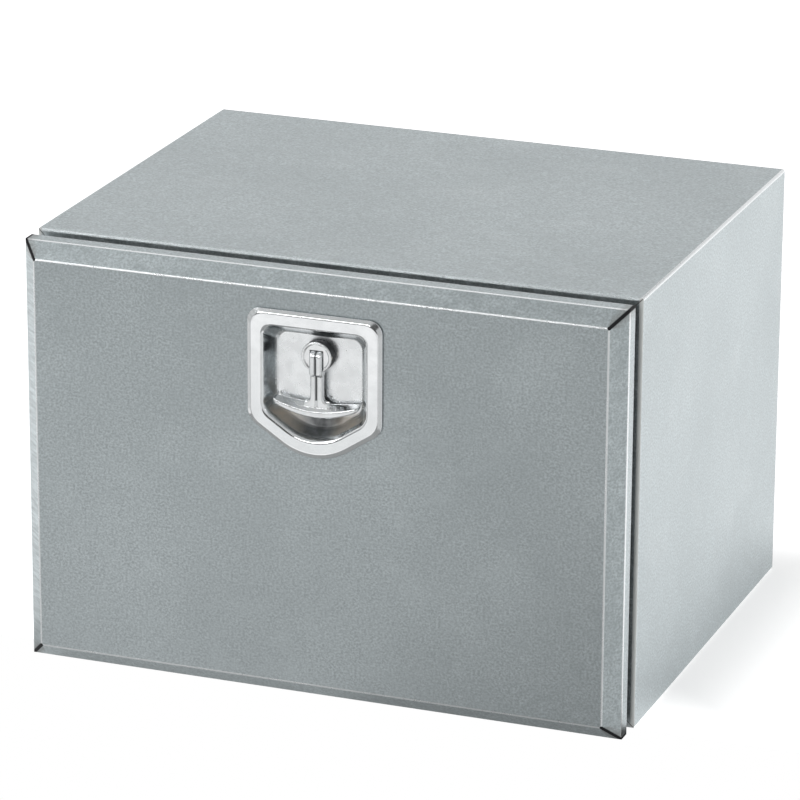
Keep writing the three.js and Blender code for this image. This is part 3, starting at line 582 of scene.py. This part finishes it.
ZINC = zinc_finish("Zinc plate")
SEAL_RUBBER = rubber_finish("Seal rubber", (0.018, 0.018, 0.019, 1))

SLOT_FINISH = {"steel": INNER_SHEET, "bright": DISH_STEEL, "zinc": ZINC, "rubber": SEAL_RUBBER}
slots = {row["node"]: row["material_slot"] for row in frame["record"]["subparts"]}


def finish_node(node, material):
    """Puts one material in a node's slots."""
    node.data.materials.clear()
    node.data.materials.append(material)


for name, node in frame["nodes"].items():
    finish_node(node, SLOT_FINISH[slots[name]])


# Pieces that stand for a CAD node

CLOSE = 1e-6


def new_object(name, data):
    """An object in the scene, at the origin."""
    piece = bpy.data.objects.new(name, data)
    bpy.context.scene.collection.objects.link(piece)
    return piece


def take_place(piece, body, nodes=()):
    """The piece rides on a body, and stands for its CAD nodes if any."""
    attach(piece, body)
    if nodes:
        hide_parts(*nodes)
    return piece


def evaluated(piece, name):
    """The piece with its modifiers in its mesh."""
    graph = bpy.context.evaluated_depsgraph_get()
    mesh = bpy.data.meshes.new_from_object(piece.evaluated_get(graph))
    mesh.name = name
    bpy.data.objects.remove(piece)
    return new_object(name, mesh)


def merged_copy(node_name, name):
    """A copy of a CAD node whose triangles share their corners."""
    mesh = frame["nodes"][node_name].data.copy()
    shell = bmesh.new()
    shell.from_mesh(mesh)
    bmesh.ops.remove_doubles(shell, verts=shell.verts, dist=CLOSE)
    bmesh.ops.recalc_face_normals(shell, faces=shell.faces)
    shell.to_mesh(mesh)
    shell.free()
    return new_object(name, mesh)


def stand_in(piece, node_name, body, material):
    """The piece stands for one CAD node."""
    finish_node(piece, material)
    return take_place(piece, body, [node_name])


def flat_group(first, taken):
    """The faces that lie in one plane with the first and are joined to it."""
    group, waiting = [], [first]
    taken.add(first)
    while waiting:
        here = waiting.pop()
        group.append(here)
        for other in (face for edge in here.edges for face in edge.link_faces):
            if other not in taken and first.normal.angle(other.normal, 0.0) < FLAT:
                taken.add(other)
                waiting.append(other)
    return group


def breadth(group):
    """A group's area over its length, which is small for the facets of a fold."""
    corners = [vert.co for face in group for vert in face.verts]
    spans = [max(c[i] for c in corners) - min(c[i] for c in corners) for i in range(3)]
    return sum(face.calc_area() for face in group) / max(Vector(spans).length, CLOSE)


def corner_normal(face, vert, flats):
    """The nearest flat part's normal, or on a fold away from the flat parts the facets' mean."""
    if face in flats:
        return flats[face]
    close = [other for other in vert.link_faces if face.normal.angle(other.normal, 0.0) < FOLD_STEP]
    beside = [flats[other] for other in close if other in flats]
    if beside:
        return max(beside, key=face.normal.dot)
    return sum((other.normal for other in close), Vector()).normalized()


def folded_sheet(node_name, name, body, material, widest_facet=NARROW_FOLD):
    """A sheet piece that stays flat up to its folds and shades round on them, with the folds marked."""
    piece = merged_copy(node_name, name)
    mesh = piece.data
    shell = bmesh.new()
    shell.from_mesh(mesh)
    flats, taken = {}, set()
    for face in shell.faces:
        if face not in taken:
            group = flat_group(face, taken)
            if breadth(group) > widest_facet:
                flats.update((member, face.normal.copy()) for member in group)
    normals, folds = [], []
    for face in shell.faces:
        normals.extend(corner_normal(face, loop.vert, flats) for loop in face.loops)
        bends = (face.normal.angle(other.normal, 0.0) for edge in face.edges for other in edge.link_faces)
        folds.append(float(face not in flats and any(FLAT < bend < FOLD_STEP for bend in bends)))
    shell.free()
    mesh.polygons.foreach_set("use_smooth", [True] * len(mesh.polygons))
    mesh.attributes.new("fold", "FLOAT", "FACE").data.foreach_set("value", folds)
    mesh.normals_split_custom_set(normals)
    return stand_in(piece, node_name, body, material)


folded_sheet("door_skin", "door_panel", "door", DOOR_SHEET)
folded_sheet("cabinet_wrapper", "cabinet_shell", "cabinet", CABINET_SHEET)
folded_sheet("back_panel", "back_wall", "cabinet", INNER_SHEET)
for side in ("left", "right"):
    folded_sheet(f"door_stiffener_{side}", f"hat_stiffener_{side}", "door", INNER_SHEET)
folded_sheet("door_seal", "bulb_seal", "cabinet", SEAL_RUBBER, WIDE_FOLD)
folded_sheet("hinge_cabinet_leaf", "lower_hinge_leaf", "cabinet", HINGE_SHEET)
folded_sheet("hinge_door_leaf", "door_hinge_leaf", "door", HINGE_SHEET)
folded_sheet("latch_cam", "cranked_cam", "barrel", ZINC)


# The lock's dish, pressed from one sheet. Its outline lies in X and Z, and its section in inset and Y.

def left_of(way):
    return Vector((-way.y, way.x))


def rounded_corner(corner, before, after, radius, steps):
    """Points on the arc that rounds a corner, each with the path's direction there."""
    turn = math.atan2(before.cross(after), before.dot(after))
    start = corner - before * radius * math.tan(abs(turn) / 2)
    centre = start + left_of(before) * math.copysign(radius, turn)
    arc = []
    for step in range(steps + 1):
        spin = Matrix.Rotation(turn * step / steps, 2)
        arc.append((centre + spin @ (start - centre), spin @ before))
    return arc


def rounded_path(corners, radii, steps):
    """A closed path with rounded corners, as points with their directions."""
    points = []
    for i, corner in enumerate(corners):
        before = (corner - corners[i - 1]).normalized()
        after = (corners[(i + 1) % len(corners)] - corner).normalized()
        points.extend(rounded_corner(corner, before, after, radii[i], steps))
    return points


def inset_corners(corners, inset):
    """The corners of a convex outline moved in from its sides."""
    moved = []
    for i, corner in enumerate(corners):
        before = left_of((corner - corners[i - 1]).normalized())
        after = left_of((corners[(i + 1) % len(corners)] - corner).normalized())
        moved.append(corner + (before + after) * inset / (1 + before.dot(after)))
    return moved


def shield_ring(inset, y):
    """The shield outline at one inset: each point and the outward direction there."""
    corners = [Vector(corner) for corner in (
        (DISH_HALF_WIDTH, -DISH_SHOULDER), (DISH_HALF_WIDTH, DISH_TOP), (-DISH_HALF_WIDTH, DISH_TOP),
        (-DISH_HALF_WIDTH, -DISH_SHOULDER), (0, -DISH_POINT),
    )]
    share = 1 - RADIUS_SHRINK * inset / DISH_HALF_WIDTH
    radii = [radius * share for radius in SHIELD_RADII]
    path = rounded_path(inset_corners(corners, inset), radii, SHIELD_STEPS)
    return [(Vector((point.x, y, point.y + HUB_HEIGHT)), -left_of(way)) for point, way in path]


def hole_ring(y):
    """A circle round the barrel, point for point with the shield outline."""
    hub = Vector((0, y, HUB_HEIGHT))
    ring = shield_ring(HOLE_RING_INSET, y)
    return [(hub + (point - hub).normalized() * DISH_HOLE, way) for point, way in ring]


def dish_section():
    """The dish's section from rim to floor: its front and its back with the rim's rounded edge.

    Each is a list of (inset, Y) points with their outward directions, and together they run on round
    the sheet.
    """
    border = DOOR_FACE_Y + FLANGE_Y - SEAT - DISH_SHEET
    corners = [Vector(corner) for corner in (
        (0, border), (RIM_BORDER, RIM_Y), (RIM_WIDTH, RIM_Y), (RIM_WIDTH + DISH_DRAFT, DISH_FLOOR_Y),
    )]
    ways = [(after - before).normalized() for before, after in zip(corners, corners[1:])] + [Vector((1, 0))]
    half = DISH_SHEET / 2
    edge, across = ways[0], left_of(ways[0])
    start = corners[0] + edge * half
    front, back = [(start, edge)], [(start + across * DISH_SHEET, edge)]
    for corner, before, after in zip(corners[1:], ways, ways[1:]):
        behind = corner + (left_of(before) + left_of(after)) * DISH_SHEET / (1 + before.dot(after))
        radii = (DISH_BEND + DISH_SHEET, DISH_BEND)
        near, far = radii if before.cross(after) > 0 else reversed(radii)
        front.extend(rounded_corner(corner, before, after, near, DISH_BEND_STEPS))
        back.extend(rounded_corner(behind, before, after, far, DISH_BEND_STEPS))
    lip = []
    for step in range(1, DISH_BEND_STEPS):
        turn = math.pi * step / DISH_BEND_STEPS
        way = across * math.cos(turn) - edge * math.sin(turn)
        lip.append((start + (across + way) * half, way))
    front = [(point, -left_of(way)) for point, way in front]
    back = [(point, left_of(way)) for point, way in reversed(back)]
    return front, back + lip


def pressed_dish():
    """The whole dish as a closed skin, with its true normals."""
    front, back = dish_section()
    sections = [(shield_ring(point.x, point.y), out) for point, out in front]
    sections.append((hole_ring(DISH_FLOOR_Y), Vector((0, -1))))
    sections.append((hole_ring(DISH_FLOOR_Y + DISH_SHEET), Vector((0, 1))))
    sections.extend((shield_ring(point.x, point.y), out) for point, out in back)
    corners, normals, faces = [], [], []
    for ring, out in sections:
        corners.extend(point for point, way in ring)
        normals.extend(Vector((-out.x * way.x, out.y, -out.x * way.y)).normalized() for point, way in ring)
    count = len(sections[0][0])
    for r in range(len(sections)):
        here, after = r * count, (r + 1) % len(sections) * count
        for i in range(count):
            j = (i + 1) % count
            faces.append((here + i, after + i, after + j, here + j))
    mesh = bpy.data.meshes.new("dish")
    mesh.from_pydata(corners, [], faces)
    if mesh.polygons[0].normal.dot(normals[0]) < 0:
        mesh.flip_normals()
    mesh.polygons.foreach_set("use_smooth", [True] * len(mesh.polygons))
    mesh.normals_split_custom_set([normals[loop.vertex_index] for loop in mesh.loops])
    return stand_in(new_object("dish", mesh), "lock_dish", "door", DISH_STEEL)


pressed_dish()


def cast_piece(node_name, name, body, material, voxel, rounds):
    """A solid with softly rounded edges, as casting and buffing leave it."""
    piece = merged_copy(node_name, name)
    remesh = piece.modifiers.new("Even faces", "REMESH")
    remesh.mode = "VOXEL"
    remesh.voxel_size = voxel
    remesh.use_smooth_shade = True
    smooth = piece.modifiers.new("Buffed edges", "SMOOTH")
    smooth.factor = 0.5
    smooth.iterations = rounds
    return stand_in(evaluated(piece, name), node_name, body, material)


CAST_VOXEL = 0.0004
cast_piece("t_handle", "folding_handle", "handle", HANDLE_STEEL, CAST_VOXEL, 6)
cast_piece("lock_barrel", "barrel", "barrel", BARREL_STEEL, CAST_VOXEL, 3)


# Turned pieces that repeat: geometry trees set one on each point, along the point's own direction

HARD_EDGE = math.radians(40)
BACKWARDS = Vector((0, 1, 0))


def turned_tree(name, sizes, profile):
    """A tree for a turned piece. Each profile point is a radius and a height, as {size: share} sums."""
    inputs = [("Points", GEOMETRY, None), ("Finish", FINISH, None), ("Round steps", WHOLE, 20)]
    inputs += [(size, NUMBER, value) for size, value in sizes.items()]
    group, wire, given, result = new_group(name, "GeometryNodeTree", inputs, [("Geometry", GEOMETRY)])
    group.is_modifier = True

    def summed(shares):
        total = 0.0
        for size, share in shares.items():
            total = wire.math("ADD", total, wire.product(given[size], share))
        return total

    def chosen(row, values):
        picker = wire.node("GeometryNodeIndexSwitch", data_type="FLOAT")
        for _ in range(len(values) - len(picker.index_switch_items)):
            picker.index_switch_items.new()
        wire.feed(row, picker.inputs["Index"])
        for value, socket in zip(values, picker.inputs[1:]):
            wire.feed(value, socket)
        return picker.outputs[0]

    rows = len(profile)
    columns = wire.math("ADD", given["Round steps"], 1.0)
    grid = wire.node("GeometryNodeMeshGrid", {"Vertices X": columns, "Vertices Y": rows}).outputs["Mesh"]
    index = wire.node("GeometryNodeInputIndex").outputs["Index"]
    row = wire.math("FLOORED_MODULO", index, float(rows))
    column = wire.math("FLOOR", wire.math("DIVIDE", index, float(rows)))
    turn = wire.product(column, wire.math("DIVIDE", math.tau, given["Round steps"]))
    radius = chosen(row, [summed(point[0]) for point in profile])
    height = chosen(row, [summed(point[1]) for point in profile])
    place = wire.joined(X=wire.product(radius, wire.math("COSINE", turn)),
                        Y=wire.product(radius, wire.math("SINE", turn)), Z=height)
    turned = wire.node("GeometryNodeSetPosition", {"Geometry": grid, "Position": place}).outputs[0]
    closed = wire.node("GeometryNodeMergeByDistance", {"Geometry": turned, "Distance": CLOSE}).outputs[0]
    bend = wire.node("GeometryNodeInputMeshEdgeAngle").outputs["Unsigned Angle"]
    hard = wire.node("FunctionNodeCompare", {"A": bend, "B": HARD_EDGE}, operation="GREATER_THAN")
    smooth = wire.node("GeometryNodeSetShadeSmooth", {"Geometry": closed, "Shade Smooth": True}).outputs[0]
    edged = wire.node("GeometryNodeSetShadeSmooth", {
        "Geometry": smooth, "Selection": hard.outputs["Result"], "Shade Smooth": False,
    }, domain="EDGE").outputs[0]
    way = wire.node("GeometryNodeInputNamedAttribute", {"Name": "way"}, data_type="FLOAT_VECTOR")
    turned_to = wire.node("FunctionNodeAlignRotationToVector", {"Vector": way.outputs["Attribute"]}, axis="Z")
    each = wire.node("GeometryNodeInstanceOnPoints", {
        "Points": given["Points"], "Instance": edged, "Rotation": turned_to.outputs["Rotation"],
    }).outputs["Instances"]
    real = wire.node("GeometryNodeRealizeInstances", {"Geometry": each}).outputs["Geometry"]
    done = wire.node("GeometryNodeSetMaterial", {"Geometry": real, "Material": given["Finish"]})
    wire.feed(done.outputs["Geometry"], result["Geometry"])
    return group


def turned_row(name, tree, places, body, material, sizes, nodes=()):
    """One mesh with a turned piece at each (place, direction)."""
    mesh = bpy.data.meshes.new(name)
    mesh.from_pydata([place for place, way in places], [], [])
    ways = [value for place, way in places for value in way]
    mesh.attributes.new("way", "FLOAT_VECTOR", "POINT").data.foreach_set("vector", ways)
    piece = new_object(name, mesh)
    modifier = piece.modifiers.new("Turned pieces", "NODES")
    modifier.node_group = tree
    values = {"Finish": material, **sizes}
    for socket in tree.interface.items_tree:
        if socket.in_out == "INPUT" and socket.name in values:
            modifier[socket.identifier] = values[socket.name]
    return take_place(evaluated(piece, name), body, nodes)


RIVET = turned_tree(
    "Blind rivet",
    {"Head radius": 0.0038, "Head height": 0.0013, "Shank radius": 0.002, "Grip": 0.006,
     "Tail radius": 0.003, "Tail length": 0.003},
    [({}, {"Head height": 0.72}),
     ({"Head radius": 0.20}, {"Head height": 0.72}),
     ({"Head radius": 0.24}, {"Head height": 1.0}),
     ({"Head radius": 0.45}, {"Head height": 0.96}),
     ({"Head radius": 0.68}, {"Head height": 0.82}),
     ({"Head radius": 0.86}, {"Head height": 0.58}),
     ({"Head radius": 0.97}, {"Head height": 0.28}),
     ({"Head radius": 1.0}, {}),
     ({"Shank radius": 1.0}, {}),
     ({"Shank radius": 1.0}, {"Grip": -1.0}),
     ({"Tail radius": 0.92}, {"Grip": -1.0}),
     ({"Tail radius": 1.0}, {"Grip": -1.0, "Tail length": -0.25}),
     ({"Tail radius": 0.92}, {"Grip": -1.0, "Tail length": -0.65}),
     ({"Tail radius": 0.6}, {"Grip": -1.0, "Tail length": -1.0}),
     ({}, {"Grip": -1.0, "Tail length": -1.0})],
)
SPOT_WELD = turned_tree(
    "Spot weld",
    {"Radius": 0.0032, "Rise": 0.00014, "Root": 0.0004},
    [({}, {"Rise": 0.15}), ({"Radius": 0.35}, {"Rise": 0.2}), ({"Radius": 0.6}, {"Rise": 0.55}),
     ({"Radius": 0.74}, {"Rise": 1.0}), ({"Radius": 0.88}, {"Rise": 0.8}), ({"Radius": 1.0}, {"Rise": 0.0}),
     ({"Radius": 1.0}, {"Root": -1.0}), ({}, {"Root": -1.0})],
)
NUT = turned_tree(
    "Hexagon nut",
    {"Radius": 0.004, "Bore": 0.0024, "Chamfer": 0.0004, "Height": 0.003},
    [({"Bore": 1.0}, {}), ({"Radius": 0.92}, {}), ({"Radius": 1.0}, {"Chamfer": 1.0}),
     ({"Radius": 1.0}, {"Height": 1.0, "Chamfer": -1.0}), ({"Radius": 0.92}, {"Height": 1.0}),
     ({"Bore": 1.0}, {"Height": 1.0}), ({"Bore": 1.0}, {})],
)
BUSHING = turned_tree(
    "Flanged bushing",
    {"Flange radius": 0.019, "Flange sheet": 0.003, "Sleeve radius": 0.013, "Bore": 0.0093, "Edge": 0.0006,
     "Height": 0.012},
    [({"Bore": 1.0}, {}), ({"Flange radius": 1.0}, {}),
     ({"Flange radius": 1.0}, {"Flange sheet": 1.0, "Edge": -1.0}),
     ({"Flange radius": 1.0, "Edge": -1.0}, {"Flange sheet": 1.0}),
     ({"Sleeve radius": 1.0, "Edge": 1.6}, {"Flange sheet": 1.0}),
     ({"Sleeve radius": 1.0, "Edge": 0.5}, {"Flange sheet": 1.0, "Edge": 0.5}),
     ({"Sleeve radius": 1.0}, {"Flange sheet": 1.0, "Edge": 1.6}),
     ({"Sleeve radius": 1.0}, {"Height": 1.0, "Edge": -1.0}),
     ({"Sleeve radius": 1.0, "Edge": -1.0}, {"Height": 1.0}),
     ({"Bore": 1.0}, {"Height": 1.0}), ({"Bore": 1.0}, {})],
)
WASHER = turned_tree(
    "Washer",
    {"Radius": 0.009, "Bore": 0.0043, "Edge": 0.0003, "Height": 0.0016},
    [({"Bore": 1.0}, {}), ({"Radius": 1.0, "Edge": -1.0}, {}), ({"Radius": 1.0}, {"Edge": 1.0}),
     ({"Radius": 1.0}, {"Height": 1.0, "Edge": -1.0}), ({"Radius": 1.0, "Edge": -1.0}, {"Height": 1.0}),
     ({"Bore": 1.0}, {"Height": 1.0}), ({"Bore": 1.0}, {})],
)
THREAD_TURNS = 9
THREADED_STUD = turned_tree(
    "Threaded stud",
    {"Radius": 0.002, "Thread depth": 0.0003, "Pitch": 0.0007, "Height": 0.0105},
    [({}, {}), ({"Radius": 1.0}, {})]
    + [({"Radius": 1.0, "Thread depth": -step % 2},
        {"Height": 1.0, "Pitch": step / 2 - THREAD_TURNS - 0.5})
       for step in range(2 * THREAD_TURNS + 1)]
    + [({"Radius": 1.0, "Thread depth": -1.3}, {"Height": 1.0}), ({}, {"Height": 1.0})],
)


def along_node(name, axis):
    """A node's middle, and its low and high ends along one axis."""
    low, high = (Vector(corner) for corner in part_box(name))
    return (low + high) / 2, low[axis], high[axis]


def rivet_row(name, nodes, body, axis, head_side):
    """Rivets in place of their CAD nodes. Head side is the way that the heads look along the axis."""
    way = Vector([head_side if i == axis else 0 for i in range(3)])
    places = []
    for node in nodes:
        middle, low, high = along_node(node, axis)
        head = (high if head_side > 0 else low) - head_side * HEAD_HEIGHT
        middle[axis] = head
        places.append((middle, way))
    low, high = along_node(nodes[0], axis)[1:]
    sizes = {"Head height": HEAD_HEIGHT, "Grip": high - low - HEAD_HEIGHT - TAIL_LENGTH,
             "Tail length": TAIL_LENGTH}
    return turned_row(name, RIVET, places, body, ZINC, sizes, nodes)


rivet_row("lower_leaf_rivets", [f"cabinet_hinge_rivet_{i}" for i in range(1, 7)], "cabinet", 1, -1)
rivet_row("door_leaf_rivets", [f"door_hinge_rivet_{i}" for i in range(1, 7)], "door", 1, 1)
rivet_row("striker_rivets", [f"striker_rivet_{i}" for i in range(1, 3)], "cabinet", 2, -1)


def lock_row(name, tree, nodes, body, sizes):
    """Turned pieces of the lock in place of their CAD nodes, each from its front end backwards."""
    places = []
    for node in nodes:
        middle, low, high = along_node(node, 1)
        places.append((Vector((middle.x, low, middle.z)), BACKWARDS))
    return turned_row(name, tree, places, body, ZINC, {**sizes, "Height": high - low}, nodes)


lock_row("threaded_studs", THREADED_STUD, [f"lock_stud_{i}" for i in range(1, 5)], "door", {})
lock_row("stud_nuts", NUT, [f"lock_nut_{i}" for i in range(1, 5)], "door", {"Round steps": 6})
lock_row("flanged_bushing", BUSHING, ["lock_bushing"], "door", {"Round steps": 64})
lock_row("cam_plain_washer", WASHER, ["cam_washer"], "barrel", {"Round steps": 48})
lock_row("cam_hexagon_nut", NUT, ["cam_nut"], "barrel",
         {"Round steps": 6, "Radius": 0.0075, "Bore": 0.0047, "Chamfer": 0.0007})


HAT_MARGIN = 0.030
HAT_WELD_DISTANCE = 0.045
BACK_MARGIN = 0.02
BACK_WELD_DISTANCE = 0.06


def evenly(low, high, distance):
    """Places from low to high, about a distance apart."""
    count = round((high - low) / distance)
    return [low + (high - low) * (i + 0.5) / count for i in range(count)]


def spot_welds():
    """The welds that hold the stiffeners to the door and the back panel to the cabinet."""
    brim_back = FLANGE_Y + DOOR_FACE_Y + SHEET + SEAT + HAT_SHEET
    brims = [
        (Vector((side * HAT_X + brim * HAT_BRIM_X, brim_back, z)), BACKWARDS)
        for side in (-1, 1) for brim in (-1, 1)
        for z in evenly(HAT_MARGIN, BOX_HEIGHT - HAT_MARGIN, HAT_WELD_DISTANCE)
    ]
    turned_row("stiffener_spot_welds", SPOT_WELD, brims, "door", INNER_SHEET, {})
    inside = SHEET + SEAT + SHEET
    y = FLANGE_Y + CABINET_DEPTH - BACK_FLANGE / 2
    across = evenly(BACK_MARGIN - BOX_HALF_WIDTH, BOX_HALF_WIDTH - BACK_MARGIN, BACK_WELD_DISTANCE)
    up = evenly(BACK_MARGIN, BOX_HEIGHT - BACK_MARGIN, BACK_WELD_DISTANCE)
    rows = [(Vector((x, y, inside)), Vector((0, 0, 1))) for x in across]
    rows += [(Vector((x, y, BOX_HEIGHT - inside)), Vector((0, 0, -1))) for x in across]
    rows += [(Vector((side * (BOX_HALF_WIDTH - inside), y, z)), Vector((-side, 0, 0)))
             for side in (-1, 1) for z in up]
    turned_row("back_panel_spot_welds", SPOT_WELD, rows, "cabinet", INNER_SHEET, {})


spot_welds()


# Studio

# The floor ends under the cabinet's front, so that the door can swing down past it
FLOOR_EDGE = FLANGE_Y + 0.003
FAR = 9.0
FLOOR_NEAR_GLOW = 0.55
SHADOW_REACH = 0.14
EDGE_REACH = 0.12
WORLD_LEVEL = 0.45
EDGE_CARD_LOW = -0.06
LOW_CARD_HEIGHT = -0.4
BOX_MIDDLE = Vector((0, 0.05, 0.2))


def plate(name, corners, material):
    """A flat sheet that isn't part of the object."""
    mesh = bpy.data.meshes.new(name)
    mesh.from_pydata(corners, [], [tuple(range(len(corners)))])
    piece = new_object(name, mesh)
    finish_node(piece, material)
    return piece


def seen_directly(wire):
    """1 for rays from the camera, and for those that metal or glass sends on."""
    path = wire.node("ShaderNodeLightPath").outputs
    seen = wire.larger(path["Is Camera Ray"], path["Is Glossy Ray"])
    return wire.larger(seen, path["Is Transmission Ray"])


def pale_finish(name, colour):
    """A pale matt floor that keeps the shadow round the box and reads as white farther off."""
    material, wire, shader, where = new_finish(name)
    shade = wire.noise(where["Object"], 3.0, 2.0)
    wire.feed(wire.mix_colour(shade, colour, tone_of(colour, 0.98)), shader.inputs["Base Color"])
    shader.inputs["Roughness"].default_value = 0.9
    shader.inputs["Specular IOR Level"].default_value = 0.1
    shader.inputs["Emission Color"].default_value = (1, 1, 1, 1)
    spot = wire.xyz(where["Object"])
    beside = wire.minus(wire.size(spot["X"]), BOX_HALF_WIDTH)
    behind = wire.minus(spot["Y"], FLANGE_Y + CABINET_DEPTH)
    off_box = wire.spread(wire.larger(beside, behind), 0.0, SHADOW_REACH)
    by_edge = wire.spread(spot["Y"], FLOOR_EDGE, FLOOR_EDGE + EDGE_REACH, 1.0, 0.0)
    glow = wire.mix(wire.larger(off_box, by_edge), FLOOR_NEAR_GLOW, 1.0)
    wire.feed(wire.product(seen_directly(wire), glow), shader.inputs["Emission Strength"])
    return material


plate("studio_floor", [(-FAR, FLOOR_EDGE, 0), (FAR, FLOOR_EDGE, 0), (FAR, FAR, 0), (-FAR, FAR, 0)],
      pale_finish("Pale floor", (0.86, 0.86, 0.86, 1)))


def card_finish(name, level):
    """A card that steel mirrors at one level, where 1 is the white of the background."""
    material, wire, shader, where = new_finish(name)
    uneven = wire.over_noise(wire.noise(where["Object"], 1.3), level * 0.85, level * 1.15)
    shader.inputs["Base Color"].default_value = (0.1, 0.1, 0.1, 1)
    shader.inputs["Roughness"].default_value = 1.0
    shader.inputs["Emission Color"].default_value = (0.98, 1.0, 1.0, 1)
    wire.feed(wire.product(seen_directly(wire), uneven), shader.inputs["Emission Strength"])
    return material


def unseen_card(name, corners, material):
    """A card out of the camera's sight, which the steel mirrors."""
    plate(name, corners, material).visible_camera = False


def upright_card(name, start, end, low, high, material):
    """A card that stands over the line from start to end."""
    unseen_card(name, [(*start, low), (*end, low), (*end, high), (*start, high)], material)


def level_card(name, outline, height, material):
    unseen_card(name, [(x, y, height) for x, y in outline], material)


DARK_CARD = card_finish("Dark card", 0.06)
DIM_CARD = card_finish("Dim card", 0.30)
MID_CARD = card_finish("Mid card", 0.50)
LIGHT_CARD = card_finish("Light card", 0.66)
# A dark room in front, a grey ceiling, and a grey curtain high at the back
upright_card("front_curtain", (-9, -6), (9, -6), -0.1, 4, DARK_CARD)
level_card("front_ceiling", [(-7, -6), (7, -6), (7, -0.2), (-7, -0.2)], 4, MID_CARD)
upright_card("back_curtain", (-9, 6), (9, 6), 4, 9, MID_CARD)
upright_card("left_wall", (-2.6, -3.2), (-5.5, -1.2), -3, 4, MID_CARD)
upright_card("right_corner", (1.7, -3.79), (2.4, -3.2), -3, 4, MID_CARD)
upright_card("right_wall", (2.4, -3.2), (5.5, -0.6), -3, 4, LIGHT_CARD)
# Under the floor's edge, lighter towards the left
for name, left, right, low, high, card in (
    ("bench_side", -3, -0.3, -1, 0, LIGHT_CARD), ("bench_edge", -0.3, 3, EDGE_CARD_LOW, 0, DARK_CARD),
    ("bench_left", -0.3, 0, -1, EDGE_CARD_LOW, MID_CARD), ("bench_right", 0, 3, -1, EDGE_CARD_LOW, DIM_CARD),
):
    upright_card(name, (left, FLOOR_EDGE), (right, FLOOR_EDGE), low, high, card)
# In front of the box, below its foot
for name, outline, card in (
    ("near_card", [(-1.2, -0.27), (-0.2, -0.27), (-0.2, -0.7), (-1.2, -0.7)], DIM_CARD),
    ("right_card", [(-0.2, -0.27), (0.55, -0.27), (0.55, -2.6), (0.3, -2.6), (-0.2, -1.3)], DIM_CARD),
    ("rim_card", [(-1.1, -2.15), (-0.5, -2.15), (-0.5, -1.7), (-1.1, -1.7)], LIGHT_CARD),
    ("far_card", [(-2.2, -4.6), (1.2, -4.6), (1.2, -2.75), (-2.2, -2.75)], LIGHT_CARD),
):
    level_card(name, outline, LOW_CARD_HEIGHT, card)


def soft_lamp(name, place, size, power):
    """A large soft lamp that looks at the middle of the box."""
    data = bpy.data.lights.new(name, "AREA")
    data.shape = "RECTANGLE"
    data.size, data.size_y = size
    data.energy = power
    lamp = new_object(name, data)
    lamp.location = place
    lamp.rotation_euler = (BOX_MIDDLE - Vector(place)).to_track_quat("-Z", "Y").to_euler()


soft_lamp("key_lamp", (-3.0, -2.2, 3.2), (2.2, 2.2), 26)
soft_lamp("front_strip", (-1.5, -3.5, 1.85), (2.6, 0.45), 28)
soft_lamp("top_lamp", (-0.9, 1.1, 3.0), (3.0, 2.4), 5)
soft_lamp("side_lamp", (3.2, 0.6, 1.4), (1.4, 1.8), 6)


def studio_world():
    """White where it is seen or mirrored, and a plain grey level on the box."""
    world = bpy.data.worlds.new("Studio")
    bpy.context.scene.world = world
    world.use_nodes = True
    tree = world.node_tree
    tree.nodes.clear()
    wire = Wiring(tree)
    level = wire.mix(seen_directly(wire), WORLD_LEVEL, 1.0)
    sky = wire.node("ShaderNodeBackground", {"Color": (1, 1, 1, 1), "Strength": level})
    out = wire.node("ShaderNodeOutputWorld")
    tree.links.new(sky.outputs["Background"], out.inputs["Surface"])


studio_world()


def photo_camera():
    """The photograph's camera: its bearing and height above the horizon, its distance and its roll."""
    azimuth, elevation, roll = math.radians(20.61), math.radians(18.91), math.radians(0.30)
    distance = 4.776
    target = Vector((-0.0279, 0.050, 0.2027))
    level = math.cos(elevation)
    back = Vector((math.sin(azimuth) * level, -math.cos(azimuth) * level, math.sin(elevation)))
    data = bpy.data.cameras.new("photo_camera")
    data.lens = 218.5
    data.clip_end = 60.0
    camera = new_object("photo_camera", data)
    camera.location = target + back * distance
    turn = (-back).to_track_quat("-Z", "Y").to_matrix() @ Matrix.Rotation(roll, 3, "Z")
    camera.rotation_euler = turn.to_euler()
    bpy.context.scene.camera = camera


photo_camera()
bpy.context.scene.view_settings.view_transform = "Standard"
